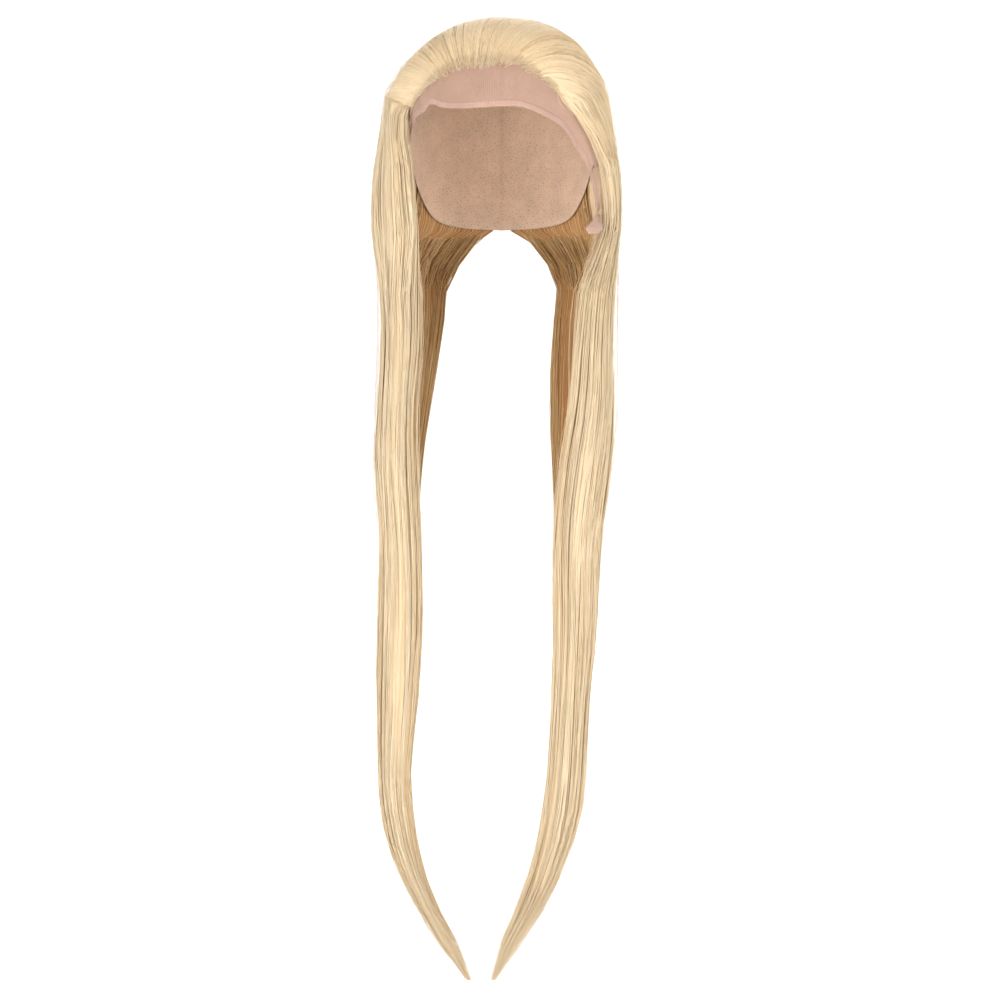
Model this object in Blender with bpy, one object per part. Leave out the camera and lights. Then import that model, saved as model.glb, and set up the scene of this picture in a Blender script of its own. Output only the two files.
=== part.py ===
"""Long straight lace front wig, its hair divided at the nape and brought forward over both shoulders.

Metres, +Z up. The wig faces -Y, and left and right are as seen from in front of it, with right at
+X. The origin is where the crown of the cap sits on the head. Drops are measured down from there,
azimuths in degrees round from the front, positive towards +X.
"""
import math

import bmesh
import bpy
from mathutils import Vector

# Head form inside the cap
CAP_HALF_WIDTH = 0.078
CAP_FRONT_REACH = 0.092
CAP_BACK_REACH = 0.100
CAP_CROWN_HEIGHT = 0.105
CAP_NAPE_DROP = 0.172
CAP_NAPE_TUCK = 0.014
EAR_FLARE = 0.003
CAP_ROUNDNESS = 2.4
CAP_TOP_SHARE = 0.06
SEAM_END_AZIMUTH = 83.0
EAR_AZIMUTH = 90.0

# Walls and clearances
CAP_WALL = 0.0014
LACE_WALL = 0.0010
PIECE_GAP = 0.0008
HAIR_GAP = 0.0010
SEAM_SHIFT = 1.6

# Hair thicknesses and reach
CROWN_HAIR_DEPTH = 0.0034
HAIRLINE_DEPTH = 0.0010
LEFT_SIDE_DEPTH = 0.0215
RIGHT_SIDE_DEPTH = 0.0135
BACK_HAIR_DEPTH = 0.019
HAIRLINE_RISE = 0.034
CROWN_HEM_DROP = 0.070
HAIR_DROP = 0.796
LOCK_SPREAD_LEFT = 0.100
LOCK_SPREAD_RIGHT = 0.090
LOCK_FORWARD = 0.083
LOCK_DEPTH = 0.026
BACK_TAIL_DROP = 0.700

# Flow of the crown hair: how much its turn gathers at the sides, and how far its hem starts from
# the ends of the hairline, in degrees
CROWN_SWING = 0.35
HEM_MARGIN = 3.0

# Azimuths between which the hair thickens from front to side, and changes from side to back
SIDE_SWELL = (25.0, 80.0)
SIDE_TO_BACK = (100.0, 150.0)
HAIRLINE_SWELL = 0.75
LEFT_FULLNESS = 1.25
RIGHT_FULLNESS = 0.9

# Sections of the locks: how far the front and back ends lean in and the middle bows, in shares of
# the width, how square their sides are, and how much closer they lie to each other at the top
FRONT_LEAN = 0.22
BACK_LEAN = 0.12
MIDDLE_BOW = 0.05
LOCK_SQUARENESS = 0.75
SIDE_CROWDING = 1.15
BACK_CROWDING = 1.1

# Relief of the locks
LOBE_DEPTH = 0.0022
LOBE_SHARPNESS = 0.7
LOBE_FADE = 0.5
CROWN_LOBE_START = 0.3
CROWN_LOBES = 15
SIDE_LOBES = 4
BACK_LOBES = 5

# Colours, linear, and roughnesses
HAIR_COLOUR = (0.84, 0.66, 0.38)
CAP_COLOUR = (0.80, 0.66, 0.50)
LACE_COLOUR = (0.90, 0.78, 0.70)
HAIR_ROUGHNESS = 0.45
NET_ROUGHNESS = 0.75

# Mesh divisions
CAP_COLUMNS, CAP_ROWS = 48, 8
LACE_COLUMNS, LACE_ROWS = 44, 5
TAB_COLUMNS, TAB_ROWS = 6, 5
CROWN_COLUMNS, CROWN_ROWS = 46, 13
SIDE_RING, SIDE_RINGS = 32, 33
BACK_RING, BACK_RINGS = 28, 21

# Border of the lace front from the left ear tab round to the right one. The free edge and the
# seam to the cap each have an azimuth and a drop in shares of the crown height.
LACE_BORDER = (
    # edge_azimuth, edge_drop, seam_azimuth, seam_drop
    (-78.0, 1.49, -90.0, 1.43),
    (-77.5, 1.24, -89.0, 1.19),
    (-77.0, 1.00, -87.0, 0.95),
    (-73.0, 0.84, -83.0, 0.74),
    (-65.0, 0.74, -76.0, 0.56),
    (-57.0, 0.71, -67.0, 0.43),
    (-50.0, 0.65, -56.0, 0.34),
    (-38.0, 0.68, -42.0, 0.27),
    (-24.0, 0.69, -27.0, 0.23),
    (0.0, 0.676, 0.0, 0.22),
    (11.0, 0.68, 13.0, 0.23),
    (23.0, 0.73, 27.0, 0.29),
    (39.0, 0.836, 46.0, 0.46),
    (49.0, 0.98, 61.0, 0.69),
    (60.0, 1.12, 73.0, 0.93),
    (69.0, 1.32, 81.0, 1.20),
    (75.0, 1.49, 87.0, 1.43),
)

# Lower edge of the cap behind the lace, in shares of the nape's drop.
CAP_EDGE = (
    # azimuth, drop
    (92.0, 0.675),
    (104.0, 0.68),
    (118.0, 0.83),
    (132.0, 0.94),
    (152.0, 0.985),
    (180.0, 1.0),
)

# Roots of the foremost hair: azimuth, and drop in shares of the crown height.
HAIRLINE = (
    # azimuth, drop
    (-72.0, 0.63),
    (-66.0, 0.585),
    (-58.0, 0.515),
    (-44.0, 0.43),
    (-31.0, 0.372),
    (-15.0, 0.36),
    (0.0, 0.348),
    (11.0, 0.36),
    (26.0, 0.456),
    (35.0, 0.537),
    (40.0, 0.63),
)

# Side hair where it hugs the head. Thickness is in shares of the side's own depth.
LEFT_SIDE_HUG = (
    # drop share of the nape's drop, front azimuth, back azimuth, thickness
    (0.412, -75.0, -115.0, 1.06),
    (0.490, -71.0, -115.0, 1.08),
    (0.570, -60.0, -115.0, 1.13),
    (0.700, -53.0, -114.0, 1.20),
    (0.850, -49.0, -112.0, 1.25),
    (1.000, -47.0, -108.0, 1.27),
)
RIGHT_SIDE_HUG = (
    (0.412, 43.0, 115.0, 1.08),
    (0.490, 51.0, 115.0, 1.20),
    (0.570, 60.0, 115.0, 1.30),
    (0.700, 69.0, 114.0, 1.30),
    (0.850, 75.0, 112.0, 1.26),
    (1.000, 77.0, 108.0, 1.22),
)

# Side hair where it hangs free, down to the tip. Drop in shares of the hair's drop, outer and
# inner in shares of the lock's spread, forward in shares of the lock's forward reach, depth in
# shares of the lock's depth.
LEFT_SIDE_HANG = (
    # drop, outer, inner, forward, depth
    (0.270, 1.00, 0.665, 0.42, 2.30),
    (0.325, 0.978, 0.665, 0.60, 1.80),
    (0.390, 0.998, 0.70, 0.80, 1.40),
    (0.450, 1.020, 0.685, 0.96, 1.10),
    (0.530, 0.980, 0.655, 1.00, 1.00),
    (0.620, 0.996, 0.640, 1.00, 0.98),
    (0.700, 1.012, 0.685, 1.00, 0.95),
    (0.785, 1.009, 0.755, 1.01, 0.86),
    (0.828, 0.977, 0.718, 1.02, 0.80),
    (0.871, 0.887, 0.661, 1.03, 0.72),
    (0.914, 0.738, 0.545, 1.04, 0.62),
    (0.957, 0.555, 0.362, 1.05, 0.48),
    (0.979, 0.429, 0.278, 1.05, 0.34),
    (1.000, 0.300, 0.265, 1.05, 0.10),
)
RIGHT_SIDE_HANG = (
    (0.270, 1.030, 0.72, 0.36, 2.30),
    (0.325, 0.995, 0.66, 0.55, 1.85),
    (0.390, 0.996, 0.60, 0.76, 1.45),
    (0.450, 0.960, 0.50, 0.94, 1.15),
    (0.530, 0.877, 0.438, 1.00, 1.00),
    (0.620, 0.845, 0.440, 1.00, 0.98),
    (0.700, 0.773, 0.442, 1.00, 0.95),
    (0.785, 0.740, 0.389, 1.01, 0.86),
    (0.828, 0.696, 0.333, 1.02, 0.80),
    (0.871, 0.586, 0.260, 1.03, 0.72),
    (0.914, 0.429, 0.130, 1.04, 0.62),
    (0.957, 0.206, -0.028, 1.05, 0.48),
    (0.979, 0.047, -0.074, 1.05, 0.34),
    (1.000, -0.064, -0.094, 1.05, 0.10),
)

# Back hair where it hugs the head, and below the nape where it sweeps forward beside the neck.
# Sideways places run from 0 at the inner edge of the lock in front to 1 at its outer edge, and
# forward ones are in shares of the lock's forward reach.
BACK_HUG = (
    # drop share of the nape's drop, front azimuth, back azimuth, thickness share
    (0.412, 116.5, 179.4, 1.10),
    (0.620, 116.5, 179.4, 1.12),
    (0.820, 115.0, 179.2, 1.02),
    (1.000, 111.0, 176.0, 0.85),
)
BACK_SWEEP = (
    # drop share of the tail's drop, outer x, y, middle x, y, inner x, y, thickness share
    (0.272, 0.86, -0.20, 0.40, -0.92, -1.05, -1.22, 0.80),
    (0.305, 0.84, -0.10, 0.38, -0.74, -0.62, -0.96, 0.78),
    (0.345, 0.82, 0.06, 0.36, -0.48, -0.55, -0.66, 0.76),
    (0.395, 0.78, 0.24, 0.34, -0.18, -0.47, -0.36, 0.72),
    (0.450, 0.74, 0.46, 0.32, 0.18, -0.33, 0.04, 0.66),
    (0.510, 0.72, 0.66, 0.34, 0.52, -0.06, 0.44, 0.52),
    (0.580, 0.74, 0.765, 0.44, 0.75, 0.10, 0.75, 0.36),
    (0.720, 0.76, 0.785, 0.48, 0.78, 0.16, 0.78, 0.32),
    (0.860, 0.74, 0.80, 0.50, 0.795, 0.24, 0.795, 0.26),
    (1.000, 0.56, 0.81, 0.48, 0.81, 0.40, 0.81, 0.10),
)

# Ear tabs, from the end of the lace down. Azimuths are measured from the tab's front corner, and
# drops and the lift of the back edge are in shares of the tab's height. The left one lies flat
# under the hair, the right one turns out in front of it.
EAR_TAB_HEIGHT = 0.016
LEFT_EAR_TAB = (
    # drop, front azimuth, back azimuth, back lift
    (0.00, 0.0, 11.5, 0.00),
    (0.35, -7.0, 9.5, 0.00),
    (0.70, -11.0, 4.5, 0.00),
    (1.00, -11.0, -4.0, 0.00),
)
RIGHT_EAR_TAB = (
    (0.00, 0.0, 11.5, 0.00),
    (0.35, -9.0, 3.0, 0.20),
    (0.70, -17.0, 0.0, 0.34),
    (1.00, -14.0, -6.0, 0.25),
)


def interpolate(table, key):
    """Row of a table at a key, from a smooth curve through its rows, without the key's column."""
    keys = [row[0] for row in table]
    key = min(max(key, keys[0]), keys[-1])
    last = len(table) - 2
    index = next((i for i in range(last) if key <= keys[i + 1]), last)
    low, high = table[index], table[index + 1]
    before = table[max(index - 1, 0)]
    after = table[min(index + 2, len(table) - 1)]
    span = high[0] - low[0]
    share = (key - low[0]) / span
    result = []
    for column in range(1, len(low)):
        slope_low = (high[column] - before[column]) / (high[0] - before[0]) * span
        slope_high = (after[column] - low[column]) / (after[0] - low[0]) * span
        result.append(
            (2 * share**3 - 3 * share**2 + 1) * low[column]
            + (share**3 - 2 * share**2 + share) * slope_low
            + (3 * share**2 - 2 * share**3) * high[column]
            + (share**3 - share**2) * slope_high
        )
    return result


def smooth_step(low, high, value):
    share = min(max((value - low) / (high - low), 0.0), 1.0)
    return share * share * (3 - 2 * share)


def ring_share(drop):
    """Width of the head form at a drop, as a share of its widest ring."""
    rise = max(1 - drop / CAP_CROWN_HEIGHT, 0.0)
    return (1 - rise**CAP_ROUNDNESS) ** (1 / CAP_ROUNDNESS)


def drop_at(share):
    """Drop at which the head form has this share of its widest ring."""
    rise = max(1 - share**CAP_ROUNDNESS, 0.0) ** (1 / CAP_ROUNDNESS)
    return CAP_CROWN_HEIGHT * (1 - rise)


def polar_of(drop):
    """Angle down from the crown at which the head form has this drop."""
    rise = CAP_CROWN_HEIGHT - drop
    return math.atan2(ring_share(drop) * CAP_FRONT_REACH, rise)


def drop_of_polar(angle):
    """Drop of the head form at an angle down from the crown."""
    steepness = math.tan(angle) * CAP_CROWN_HEIGHT / CAP_FRONT_REACH
    return CAP_CROWN_HEIGHT * (1 - (1 + steepness**CAP_ROUNDNESS) ** (-1 / CAP_ROUNDNESS))


def cap_point(azimuth, drop, lift=0.0):
    """Point on the head form, lifted off it."""
    turn = math.radians(azimuth)
    share = ring_share(drop)
    below = smooth_step(CAP_CROWN_HEIGHT, CAP_NAPE_DROP, drop)
    facing = math.cos(turn)
    flare = EAR_FLARE * smooth_step(0.9 * CAP_CROWN_HEIGHT, 1.4 * CAP_CROWN_HEIGHT, drop)
    flare *= smooth_step(-0.5, 0.1, facing)
    half_width = CAP_HALF_WIDTH + lift + flare
    if facing > 0:
        reach = CAP_FRONT_REACH + lift + flare
    else:
        reach = CAP_BACK_REACH + lift + flare - CAP_NAPE_TUCK * below * facing * facing
    rise = 1 - drop / CAP_CROWN_HEIGHT
    lifted_height = (CAP_CROWN_HEIGHT + lift) * max(rise, 0.0) - CAP_CROWN_HEIGHT * max(-rise, 0.0)
    return Vector((
        half_width * share * math.sin(turn),
        -reach * share * facing,
        lifted_height - CAP_CROWN_HEIGHT,
    ))


def clear_of_cap(point, lift):
    """The point itself, or the nearest one sideways that keeps this lift off the head form."""
    drop = -point.z
    tab_bottom = LACE_BORDER[0][1] * CAP_CROWN_HEIGHT + PIECE_GAP + EAR_TAB_HEIGHT
    if drop > max(CAP_NAPE_DROP, tab_bottom) + HAIR_GAP or drop <= 0:
        return point
    azimuth = math.degrees(math.atan2(
        point.x / CAP_HALF_WIDTH,
        -point.y / (CAP_FRONT_REACH if point.y < 0 else CAP_BACK_REACH),
    ))
    wall = cap_point(azimuth, drop, lift)
    if math.hypot(wall.x, wall.y) > math.hypot(point.x, point.y):
        return Vector((wall.x, wall.y, point.z))
    return point


def lobes(position, count):
    """Relief of locks lying side by side: 0 in the grooves between them, 1 on their backs."""
    return abs(math.sin(math.pi * count * position)) ** LOBE_SHARPNESS


def make_material(name, colour, roughness):
    material = bpy.data.materials.new(name)
    material.use_nodes = True
    shader = material.node_tree.nodes["Principled BSDF"]
    shader.inputs["Base Color"].default_value = (*colour, 1)
    shader.inputs["Roughness"].default_value = roughness
    shader.inputs["Metallic"].default_value = 0
    return material


def finish_object(name, mesh_data, material):
    """Turns a bmesh into a named, smooth shaded object with its faces pointing out."""
    bmesh.ops.recalc_face_normals(mesh_data, faces=mesh_data.faces)
    mesh = bpy.data.meshes.new(name)
    mesh_data.to_mesh(mesh)
    mesh_data.free()
    mesh.shade_smooth()
    mesh.set_sharp_from_angle(angle=math.radians(50))
    mesh.materials.append(material)
    item = bpy.data.objects.new(name, mesh)
    bpy.context.scene.collection.objects.link(item)
    return item


def thick_patch(name, columns, rows, inner_point, outer_point, material):
    """A closed wall: a grid laid on one surface and extruded to another.

    Both functions take the share along the columns and along the rows.
    """
    mesh_data = bmesh.new()
    bmesh.ops.create_grid(mesh_data, x_segments=columns, y_segments=rows, size=0.5)
    shares = {}
    for vertex in mesh_data.verts:
        shares[vertex] = (vertex.co.x + 0.5, vertex.co.y + 0.5)
    extruded = bmesh.ops.extrude_face_region(
        mesh_data, geom=mesh_data.faces[:], use_keep_orig=True
    )
    outer = [item for item in extruded["geom"] if isinstance(item, bmesh.types.BMVert)]
    for vertex in outer:
        shares[vertex] = (vertex.co.x + 0.5, vertex.co.y + 0.5)
    raised = set(outer)
    for vertex, (along, across) in shares.items():
        place = outer_point if vertex in raised else inner_point
        vertex.co = place(along, across)
    return finish_object(name, mesh_data, material)


def lofted_lock(name, ring_size, section, count, material):
    """A closed lock: a ring of points extruded through its sections and filled at both ends."""
    mesh_data = bmesh.new()
    start = bmesh.ops.create_circle(mesh_data, segments=ring_size, radius=1, cap_ends=False)
    ring = start["verts"]
    ring.sort(key=lambda vertex: math.atan2(vertex.co.y, vertex.co.x) % math.tau)
    edges = mesh_data.edges[:]
    order = {vertex: index for index, vertex in enumerate(ring)}
    for vertex, index in order.items():
        vertex.co = section(0.0, index / ring_size)
    bmesh.ops.contextual_create(mesh_data, geom=edges)
    for step in range(1, count):
        extruded = bmesh.ops.extrude_edge_only(mesh_data, edges=edges)["geom"]
        edges = [item for item in extruded if isinstance(item, bmesh.types.BMEdge)]
        fresh = [item for item in extruded if isinstance(item, bmesh.types.BMVert)]
        following = {}
        for vertex in fresh:
            before = next(
                edge.other_vert(vertex) for edge in vertex.link_edges
                if edge.other_vert(vertex) in order
            )
            following[vertex] = order[before]
        for vertex, index in following.items():
            vertex.co = section(step / (count - 1), index / ring_size)
        order = following
    bmesh.ops.contextual_create(mesh_data, geom=edges)
    return finish_object(name, mesh_data, material)


def bent_section(side, front, middle, back, thickness, around, relief_count, lobe_depth):
    """Point on the outline of a bent oval lock section, a share of the way around it.

    The oval's centre line is a curve from its front end through its middle to its back end, and
    its outer half faces away from the head.
    """
    turn = math.tau * around
    share = 0.5 - 0.5 * math.cos(turn)
    control = middle * 2 - (front + back) / 2
    place = front * (1 - share) ** 2 + control * (2 * share * (1 - share)) + back * share**2
    along = (control - front) * (1 - share) + (back - control) * share
    outward = Vector((along.y, -along.x, 0)).normalized() * side
    height = math.sin(turn)
    offset = math.copysign(abs(height) ** LOCK_SQUARENESS, height) * thickness / 2
    if height > 0:
        offset -= lobe_depth * (1 - lobes(share, relief_count)) * min(1.0, height / LOBE_FADE)
    return place + outward * offset


def lace_border(along):
    """Edge and seam of the lace front, a share of the way from the left tab to the right one."""
    rows = [(index / (len(LACE_BORDER) - 1), *row) for index, row in enumerate(LACE_BORDER)]
    return interpolate(rows, along)


def lace_place(along, across, lift):
    """Point of the lace front: across runs from the free edge to the seam."""
    edge_azimuth, edge_drop, seam_azimuth, seam_drop = lace_border(along)
    azimuth = edge_azimuth + (seam_azimuth - edge_azimuth) * across
    drop = (edge_drop + (seam_drop - edge_drop) * across) * CAP_CROWN_HEIGHT
    return cap_point(azimuth, drop, lift)


def make_lace_front(material):
    return thick_patch(
        "lace_front", LACE_COLUMNS, LACE_ROWS,
        lambda along, across: lace_place(along, across, 0.0),
        lambda along, across: lace_place(along, across, LACE_WALL),
        material,
    )


def cap_edge_drop(azimuth):
    """Drop of the cap's lower edge: along the lace seam in front, round the ears to the nape."""
    sides = {1: [], -1: []}
    for row in LACE_BORDER:
        _, _, seam_azimuth, seam_drop = row
        for side in (1, -1):
            rising = seam_azimuth * side
            if 0 <= rising <= SEAM_END_AZIMUTH and seam_drop < 1:
                sides[side].append((rising, seam_drop * CAP_CROWN_HEIGHT))
    side = 1 if azimuth >= 0 else -1
    table = sorted(sides[side])
    table += [(turn, share * CAP_NAPE_DROP) for turn, share in CAP_EDGE]
    return interpolate(table, abs(azimuth))[0]


def cap_place(along, across, lift):
    """Point of the cap: along runs round it from the front, across from its edge to the crown."""
    azimuth = -180 + 360 * along
    behind_lace = abs(azimuth) < EAR_AZIMUTH
    shift = math.copysign(min(SEAM_SHIFT, abs(azimuth)), azimuth) if behind_lace else 0.0
    edge = cap_edge_drop(azimuth - shift)
    seam = 2 * PIECE_GAP if behind_lace else 0.0
    edge_share = ring_share(edge - seam) if edge < CAP_CROWN_HEIGHT else 1.0
    below = max(edge - CAP_CROWN_HEIGHT, 0.0)
    length = below + CAP_CROWN_HEIGHT * edge_share
    walked = length * (1 - across)
    if walked > CAP_CROWN_HEIGHT * edge_share:
        return cap_point(azimuth, CAP_CROWN_HEIGHT + walked - CAP_CROWN_HEIGHT * edge_share, lift)
    walked_share = walked / (CAP_CROWN_HEIGHT * edge_share)
    share = CAP_TOP_SHARE + (edge_share - CAP_TOP_SHARE) * walked_share
    return cap_point(azimuth, drop_at(share), lift)


def make_cap_dome(material):
    """The dome of the cap, a wall from the lace seam, the ears and the nape up to the crown."""
    mesh_data = bmesh.new()
    walls = []
    for lift in (0.0, CAP_WALL):
        start = bmesh.ops.create_circle(mesh_data, segments=CAP_COLUMNS, radius=1)
        ring = start["verts"]
        order = {}
        for vertex in ring:
            turn = math.atan2(vertex.co.x, -vertex.co.y)
            order[vertex] = (turn + math.pi) / math.tau
        edges = list({edge for vertex in ring for edge in vertex.link_edges})
        walls.append(edges)
        for vertex, along in order.items():
            vertex.co = cap_place(along, 0.0, lift)
        for row in range(1, CAP_ROWS + 1):
            extruded = bmesh.ops.extrude_edge_only(mesh_data, edges=edges)["geom"]
            edges = [item for item in extruded if isinstance(item, bmesh.types.BMEdge)]
            fresh = [item for item in extruded if isinstance(item, bmesh.types.BMVert)]
            following = {}
            for vertex in fresh:
                before = next(
                    edge.other_vert(vertex) for edge in vertex.link_edges
                    if edge.other_vert(vertex) in order
                )
                following[vertex] = order[before]
            for vertex, along in following.items():
                vertex.co = cap_place(along, row / CAP_ROWS, lift)
            order = following
        bmesh.ops.contextual_create(mesh_data, geom=edges)
    bmesh.ops.bridge_loops(mesh_data, edges=walls[0] + walls[1])
    return finish_object("cap_dome", mesh_data, material)


def make_ear_tab(name, side, outline, material):
    """A rounded tab that carries on below the end of the lace in front of the ear."""
    corner = LACE_BORDER[0] if side < 0 else LACE_BORDER[-1]
    top = max(corner[1], corner[3]) * CAP_CROWN_HEIGHT + PIECE_GAP

    def place(along, across, lift):
        front, back, back_lift = interpolate(outline, across)
        azimuth = abs(corner[0]) + front + (back - front) * along
        lift += EAR_TAB_HEIGHT * back_lift * along
        return cap_point(azimuth * side, top + EAR_TAB_HEIGHT * across, lift)

    return thick_patch(
        name, TAB_COLUMNS, TAB_ROWS,
        lambda along, across: place(along, across, 0.0),
        lambda along, across: place(along, across, LACE_WALL),
        material,
    )


def hairline_point(along):
    """Azimuth and drop of the hairline, a share of the way from its left end to its right end."""
    first, last = HAIRLINE[0][0], HAIRLINE[-1][0]
    azimuth = first + (last - first) * along
    return azimuth, interpolate(HAIRLINE, azimuth)[0] * CAP_CROWN_HEIGHT


def plan_of(azimuth, drop):
    """Place on the head form unrolled flat around its crown, as angles down from there."""
    turn = math.radians(azimuth)
    return Vector((math.sin(turn), -math.cos(turn))) * polar_of(drop)


def side_depth(azimuth):
    """Full thickness of the hair round the head."""
    side = LEFT_SIDE_DEPTH if azimuth < 0 else RIGHT_SIDE_DEPTH
    to_back = smooth_step(*SIDE_TO_BACK, abs(azimuth))
    return side + (BACK_HAIR_DEPTH - side) * to_back


def crown_place(along, across, outer):
    """Point of the crown hair: across follows the hair from its roots over the crown to the hem."""
    azimuth, drop = hairline_point(along)
    root = plan_of(azimuth, drop)
    hem_polar = polar_of(CROWN_HEM_DROP)
    front_left, front_right = HAIRLINE[0][0] - HEM_MARGIN, HAIRLINE[-1][0] + HEM_MARGIN
    swing = 0.5 - 0.5 * math.cos(math.pi * along)
    arc = 360 - (front_right - front_left)
    hem_turn = math.radians(front_left - arc * (along + (swing - along) * CROWN_SWING))
    hem = Vector((math.sin(hem_turn), -math.cos(hem_turn))) * hem_polar
    plan = root + (hem - root) * across
    turn = math.degrees(math.atan2(plan.x, -plan.y))
    height = drop_of_polar(min(plan.length, hem_polar))
    lift = CAP_WALL + HAIR_GAP
    if outer:
        run = (plan - root).length * CAP_FRONT_REACH
        ramp = min(run / HAIRLINE_RISE, 1.0)
        rise = ramp + (smooth_step(0, HAIRLINE_RISE, run) - ramp) * HAIRLINE_SWELL
        sideways = smooth_step(*SIDE_SWELL, abs(turn))
        fullness = LEFT_FULLNESS if turn < 0 else RIGHT_FULLNESS
        wide = (height / CROWN_HEM_DROP) ** fullness
        full = CROWN_HAIR_DEPTH + (side_depth(turn) - CROWN_HAIR_DEPTH) * wide * sideways
        relief = LOBE_DEPTH * (1 - lobes(along, CROWN_LOBES))
        relief *= smooth_step(0, CROWN_LOBE_START, across)
        lift += HAIRLINE_DEPTH + (full - HAIRLINE_DEPTH) * rise - relief * rise
    place = cap_point(turn, height, lift)
    floor = -CROWN_HEM_DROP
    place.z = max(place.z, floor) if across < 1 else floor
    return place


def make_crown_hair(material):
    return thick_patch(
        "crown_hair", CROWN_COLUMNS, CROWN_ROWS,
        lambda along, across: crown_place(along, across, False),
        lambda along, across: crown_place(along, across, True),
        material,
    )


def hug_row(row, depth):
    """Front, middle and back of a section that hugs the head, with its thickness."""
    share, front, back, thickness = row
    drop = share * CAP_NAPE_DROP
    thick = thickness * depth
    lift = CAP_WALL + HAIR_GAP + thick / 2
    points = []
    for azimuth in (front, (front + back) / 2, back):
        place = cap_point(azimuth, drop, lift)
        place.z = -drop
        points.append(place)
    return (drop, *[value for point in points for value in point.xy], thick)


def hang_row(row, side):
    """Front, middle and back of a section of a hanging lock, with its thickness."""
    share, outer, inner, forward, depth = row
    spread = LOCK_SPREAD_LEFT if side < 0 else LOCK_SPREAD_RIGHT
    drop = share * HAIR_DROP
    centre_y = -forward * LOCK_FORWARD
    half_depth = depth * LOCK_DEPTH / 2
    centre_x = side * spread * (outer + inner) / 2
    width = spread * (outer - inner)
    front = (centre_x - side * width * FRONT_LEAN, centre_y - half_depth)
    back = (centre_x + side * width * BACK_LEAN, centre_y + half_depth)
    middle = (centre_x + side * width * MIDDLE_BOW, centre_y)
    return (drop, *front, *middle, *back, width)


def make_side_lock(name, side, hug, hang, depth, material):
    """The hair from a temple down past the face and over the shoulder to its tip."""
    rows = [hug_row(row, depth) for row in hug] + [hang_row(row, side) for row in hang]
    top = CROWN_HEM_DROP + PIECE_GAP

    def section(along, around):
        drop = top + (HAIR_DROP - top) * along**SIDE_CROWDING
        values = interpolate(rows, drop)
        front, middle, back = (
            Vector((values[i], values[i + 1], -drop)) for i in (0, 2, 4)
        )
        relief = LOBE_DEPTH * min(1.0, values[6] / depth)
        point = bent_section(
            side, front, middle, back, values[6], around, SIDE_LOBES, relief
        )
        return clear_of_cap(point, CAP_WALL + HAIR_GAP)

    return lofted_lock(name, SIDE_RING, section, SIDE_RINGS, material)


def sweep_row(row, side, hang):
    """A section of the back hair below the nape, set against the lock that it lies behind."""
    share, outer_x, outer_y, middle_x, middle_y, inner_x, inner_y, thickness = row
    spread = LOCK_SPREAD_LEFT if side < 0 else LOCK_SPREAD_RIGHT
    outer, inner = interpolate(hang, share * BACK_TAIL_DROP / HAIR_DROP)[:2]
    across = [side * spread * (inner + (outer - inner) * x) for x in (outer_x, middle_x, inner_x)]
    ahead = [-LOCK_FORWARD * y for y in (outer_y, middle_y, inner_y)]
    return (
        share * BACK_TAIL_DROP,
        across[0], ahead[0], across[1], ahead[1], across[2], ahead[2],
        thickness * BACK_HAIR_DEPTH,
    )


def make_back_hair(name, side, hang, material):
    """Half of the hair behind the head, swept forward beside the neck to lie behind its lock."""
    rows = []
    for share, front, back, thickness in BACK_HUG:
        rows.append(hug_row((share, side * front, side * back, thickness), BACK_HAIR_DEPTH))
    rows += [sweep_row(row, side, hang) for row in BACK_SWEEP]
    top = CROWN_HEM_DROP + PIECE_GAP

    def section(along, around):
        drop = top + (BACK_TAIL_DROP - top) * along**BACK_CROWDING
        values = interpolate(rows, drop)
        front, middle, back = (
            Vector((values[i], values[i + 1], -drop)) for i in (0, 2, 4)
        )
        relief = LOBE_DEPTH * min(1.0, values[6] / BACK_HAIR_DEPTH)
        point = bent_section(
            side, front, middle, back, values[6], around, BACK_LOBES, relief
        )
        return clear_of_cap(point, CAP_WALL + HAIR_GAP)

    return lofted_lock(name, BACK_RING, section, BACK_RINGS, material)


def main():
    for item in list(bpy.data.objects):
        bpy.data.objects.remove(item)
    make_cap_dome(make_material("cap_net", CAP_COLOUR, NET_ROUGHNESS))
    make_lace_front(make_material("lace_net", LACE_COLOUR, NET_ROUGHNESS))
    make_crown_hair(make_material("crown_hair_blonde", HAIR_COLOUR, HAIR_ROUGHNESS))
    locks = (
        ("left", -1, LEFT_EAR_TAB, LEFT_SIDE_HUG, LEFT_SIDE_HANG, LEFT_SIDE_DEPTH),
        ("right", 1, RIGHT_EAR_TAB, RIGHT_SIDE_HUG, RIGHT_SIDE_HANG, RIGHT_SIDE_DEPTH),
    )
    for word, side, outline, hug, hang, depth in locks:
        tab = f"ear_tab_{word}"
        make_ear_tab(tab, side, outline, make_material(f"{tab}_lace", LACE_COLOUR, NET_ROUGHNESS))
        lock = f"side_hair_{word}"
        blonde = make_material(f"{lock}_blonde", HAIR_COLOUR, HAIR_ROUGHNESS)
        make_side_lock(lock, side, hug, hang, depth, blonde)
        behind = f"back_hair_{word}"
        blonde = make_material(f"{behind}_blonde", HAIR_COLOUR, HAIR_ROUGHNESS)
        make_back_hair(behind, side, hang, blonde)


main()
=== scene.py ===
"""Dresses the lace front wig: cap net, lace, and long straight hair in loose strands.

Metres, +Z up, the wig faces -Y. Drops are measured down from the crown of the cap, azimuths in
degrees round from the front, positive towards +X. The forms of the hair follow the same sections
as the solids that they replace.
"""
import math

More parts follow.
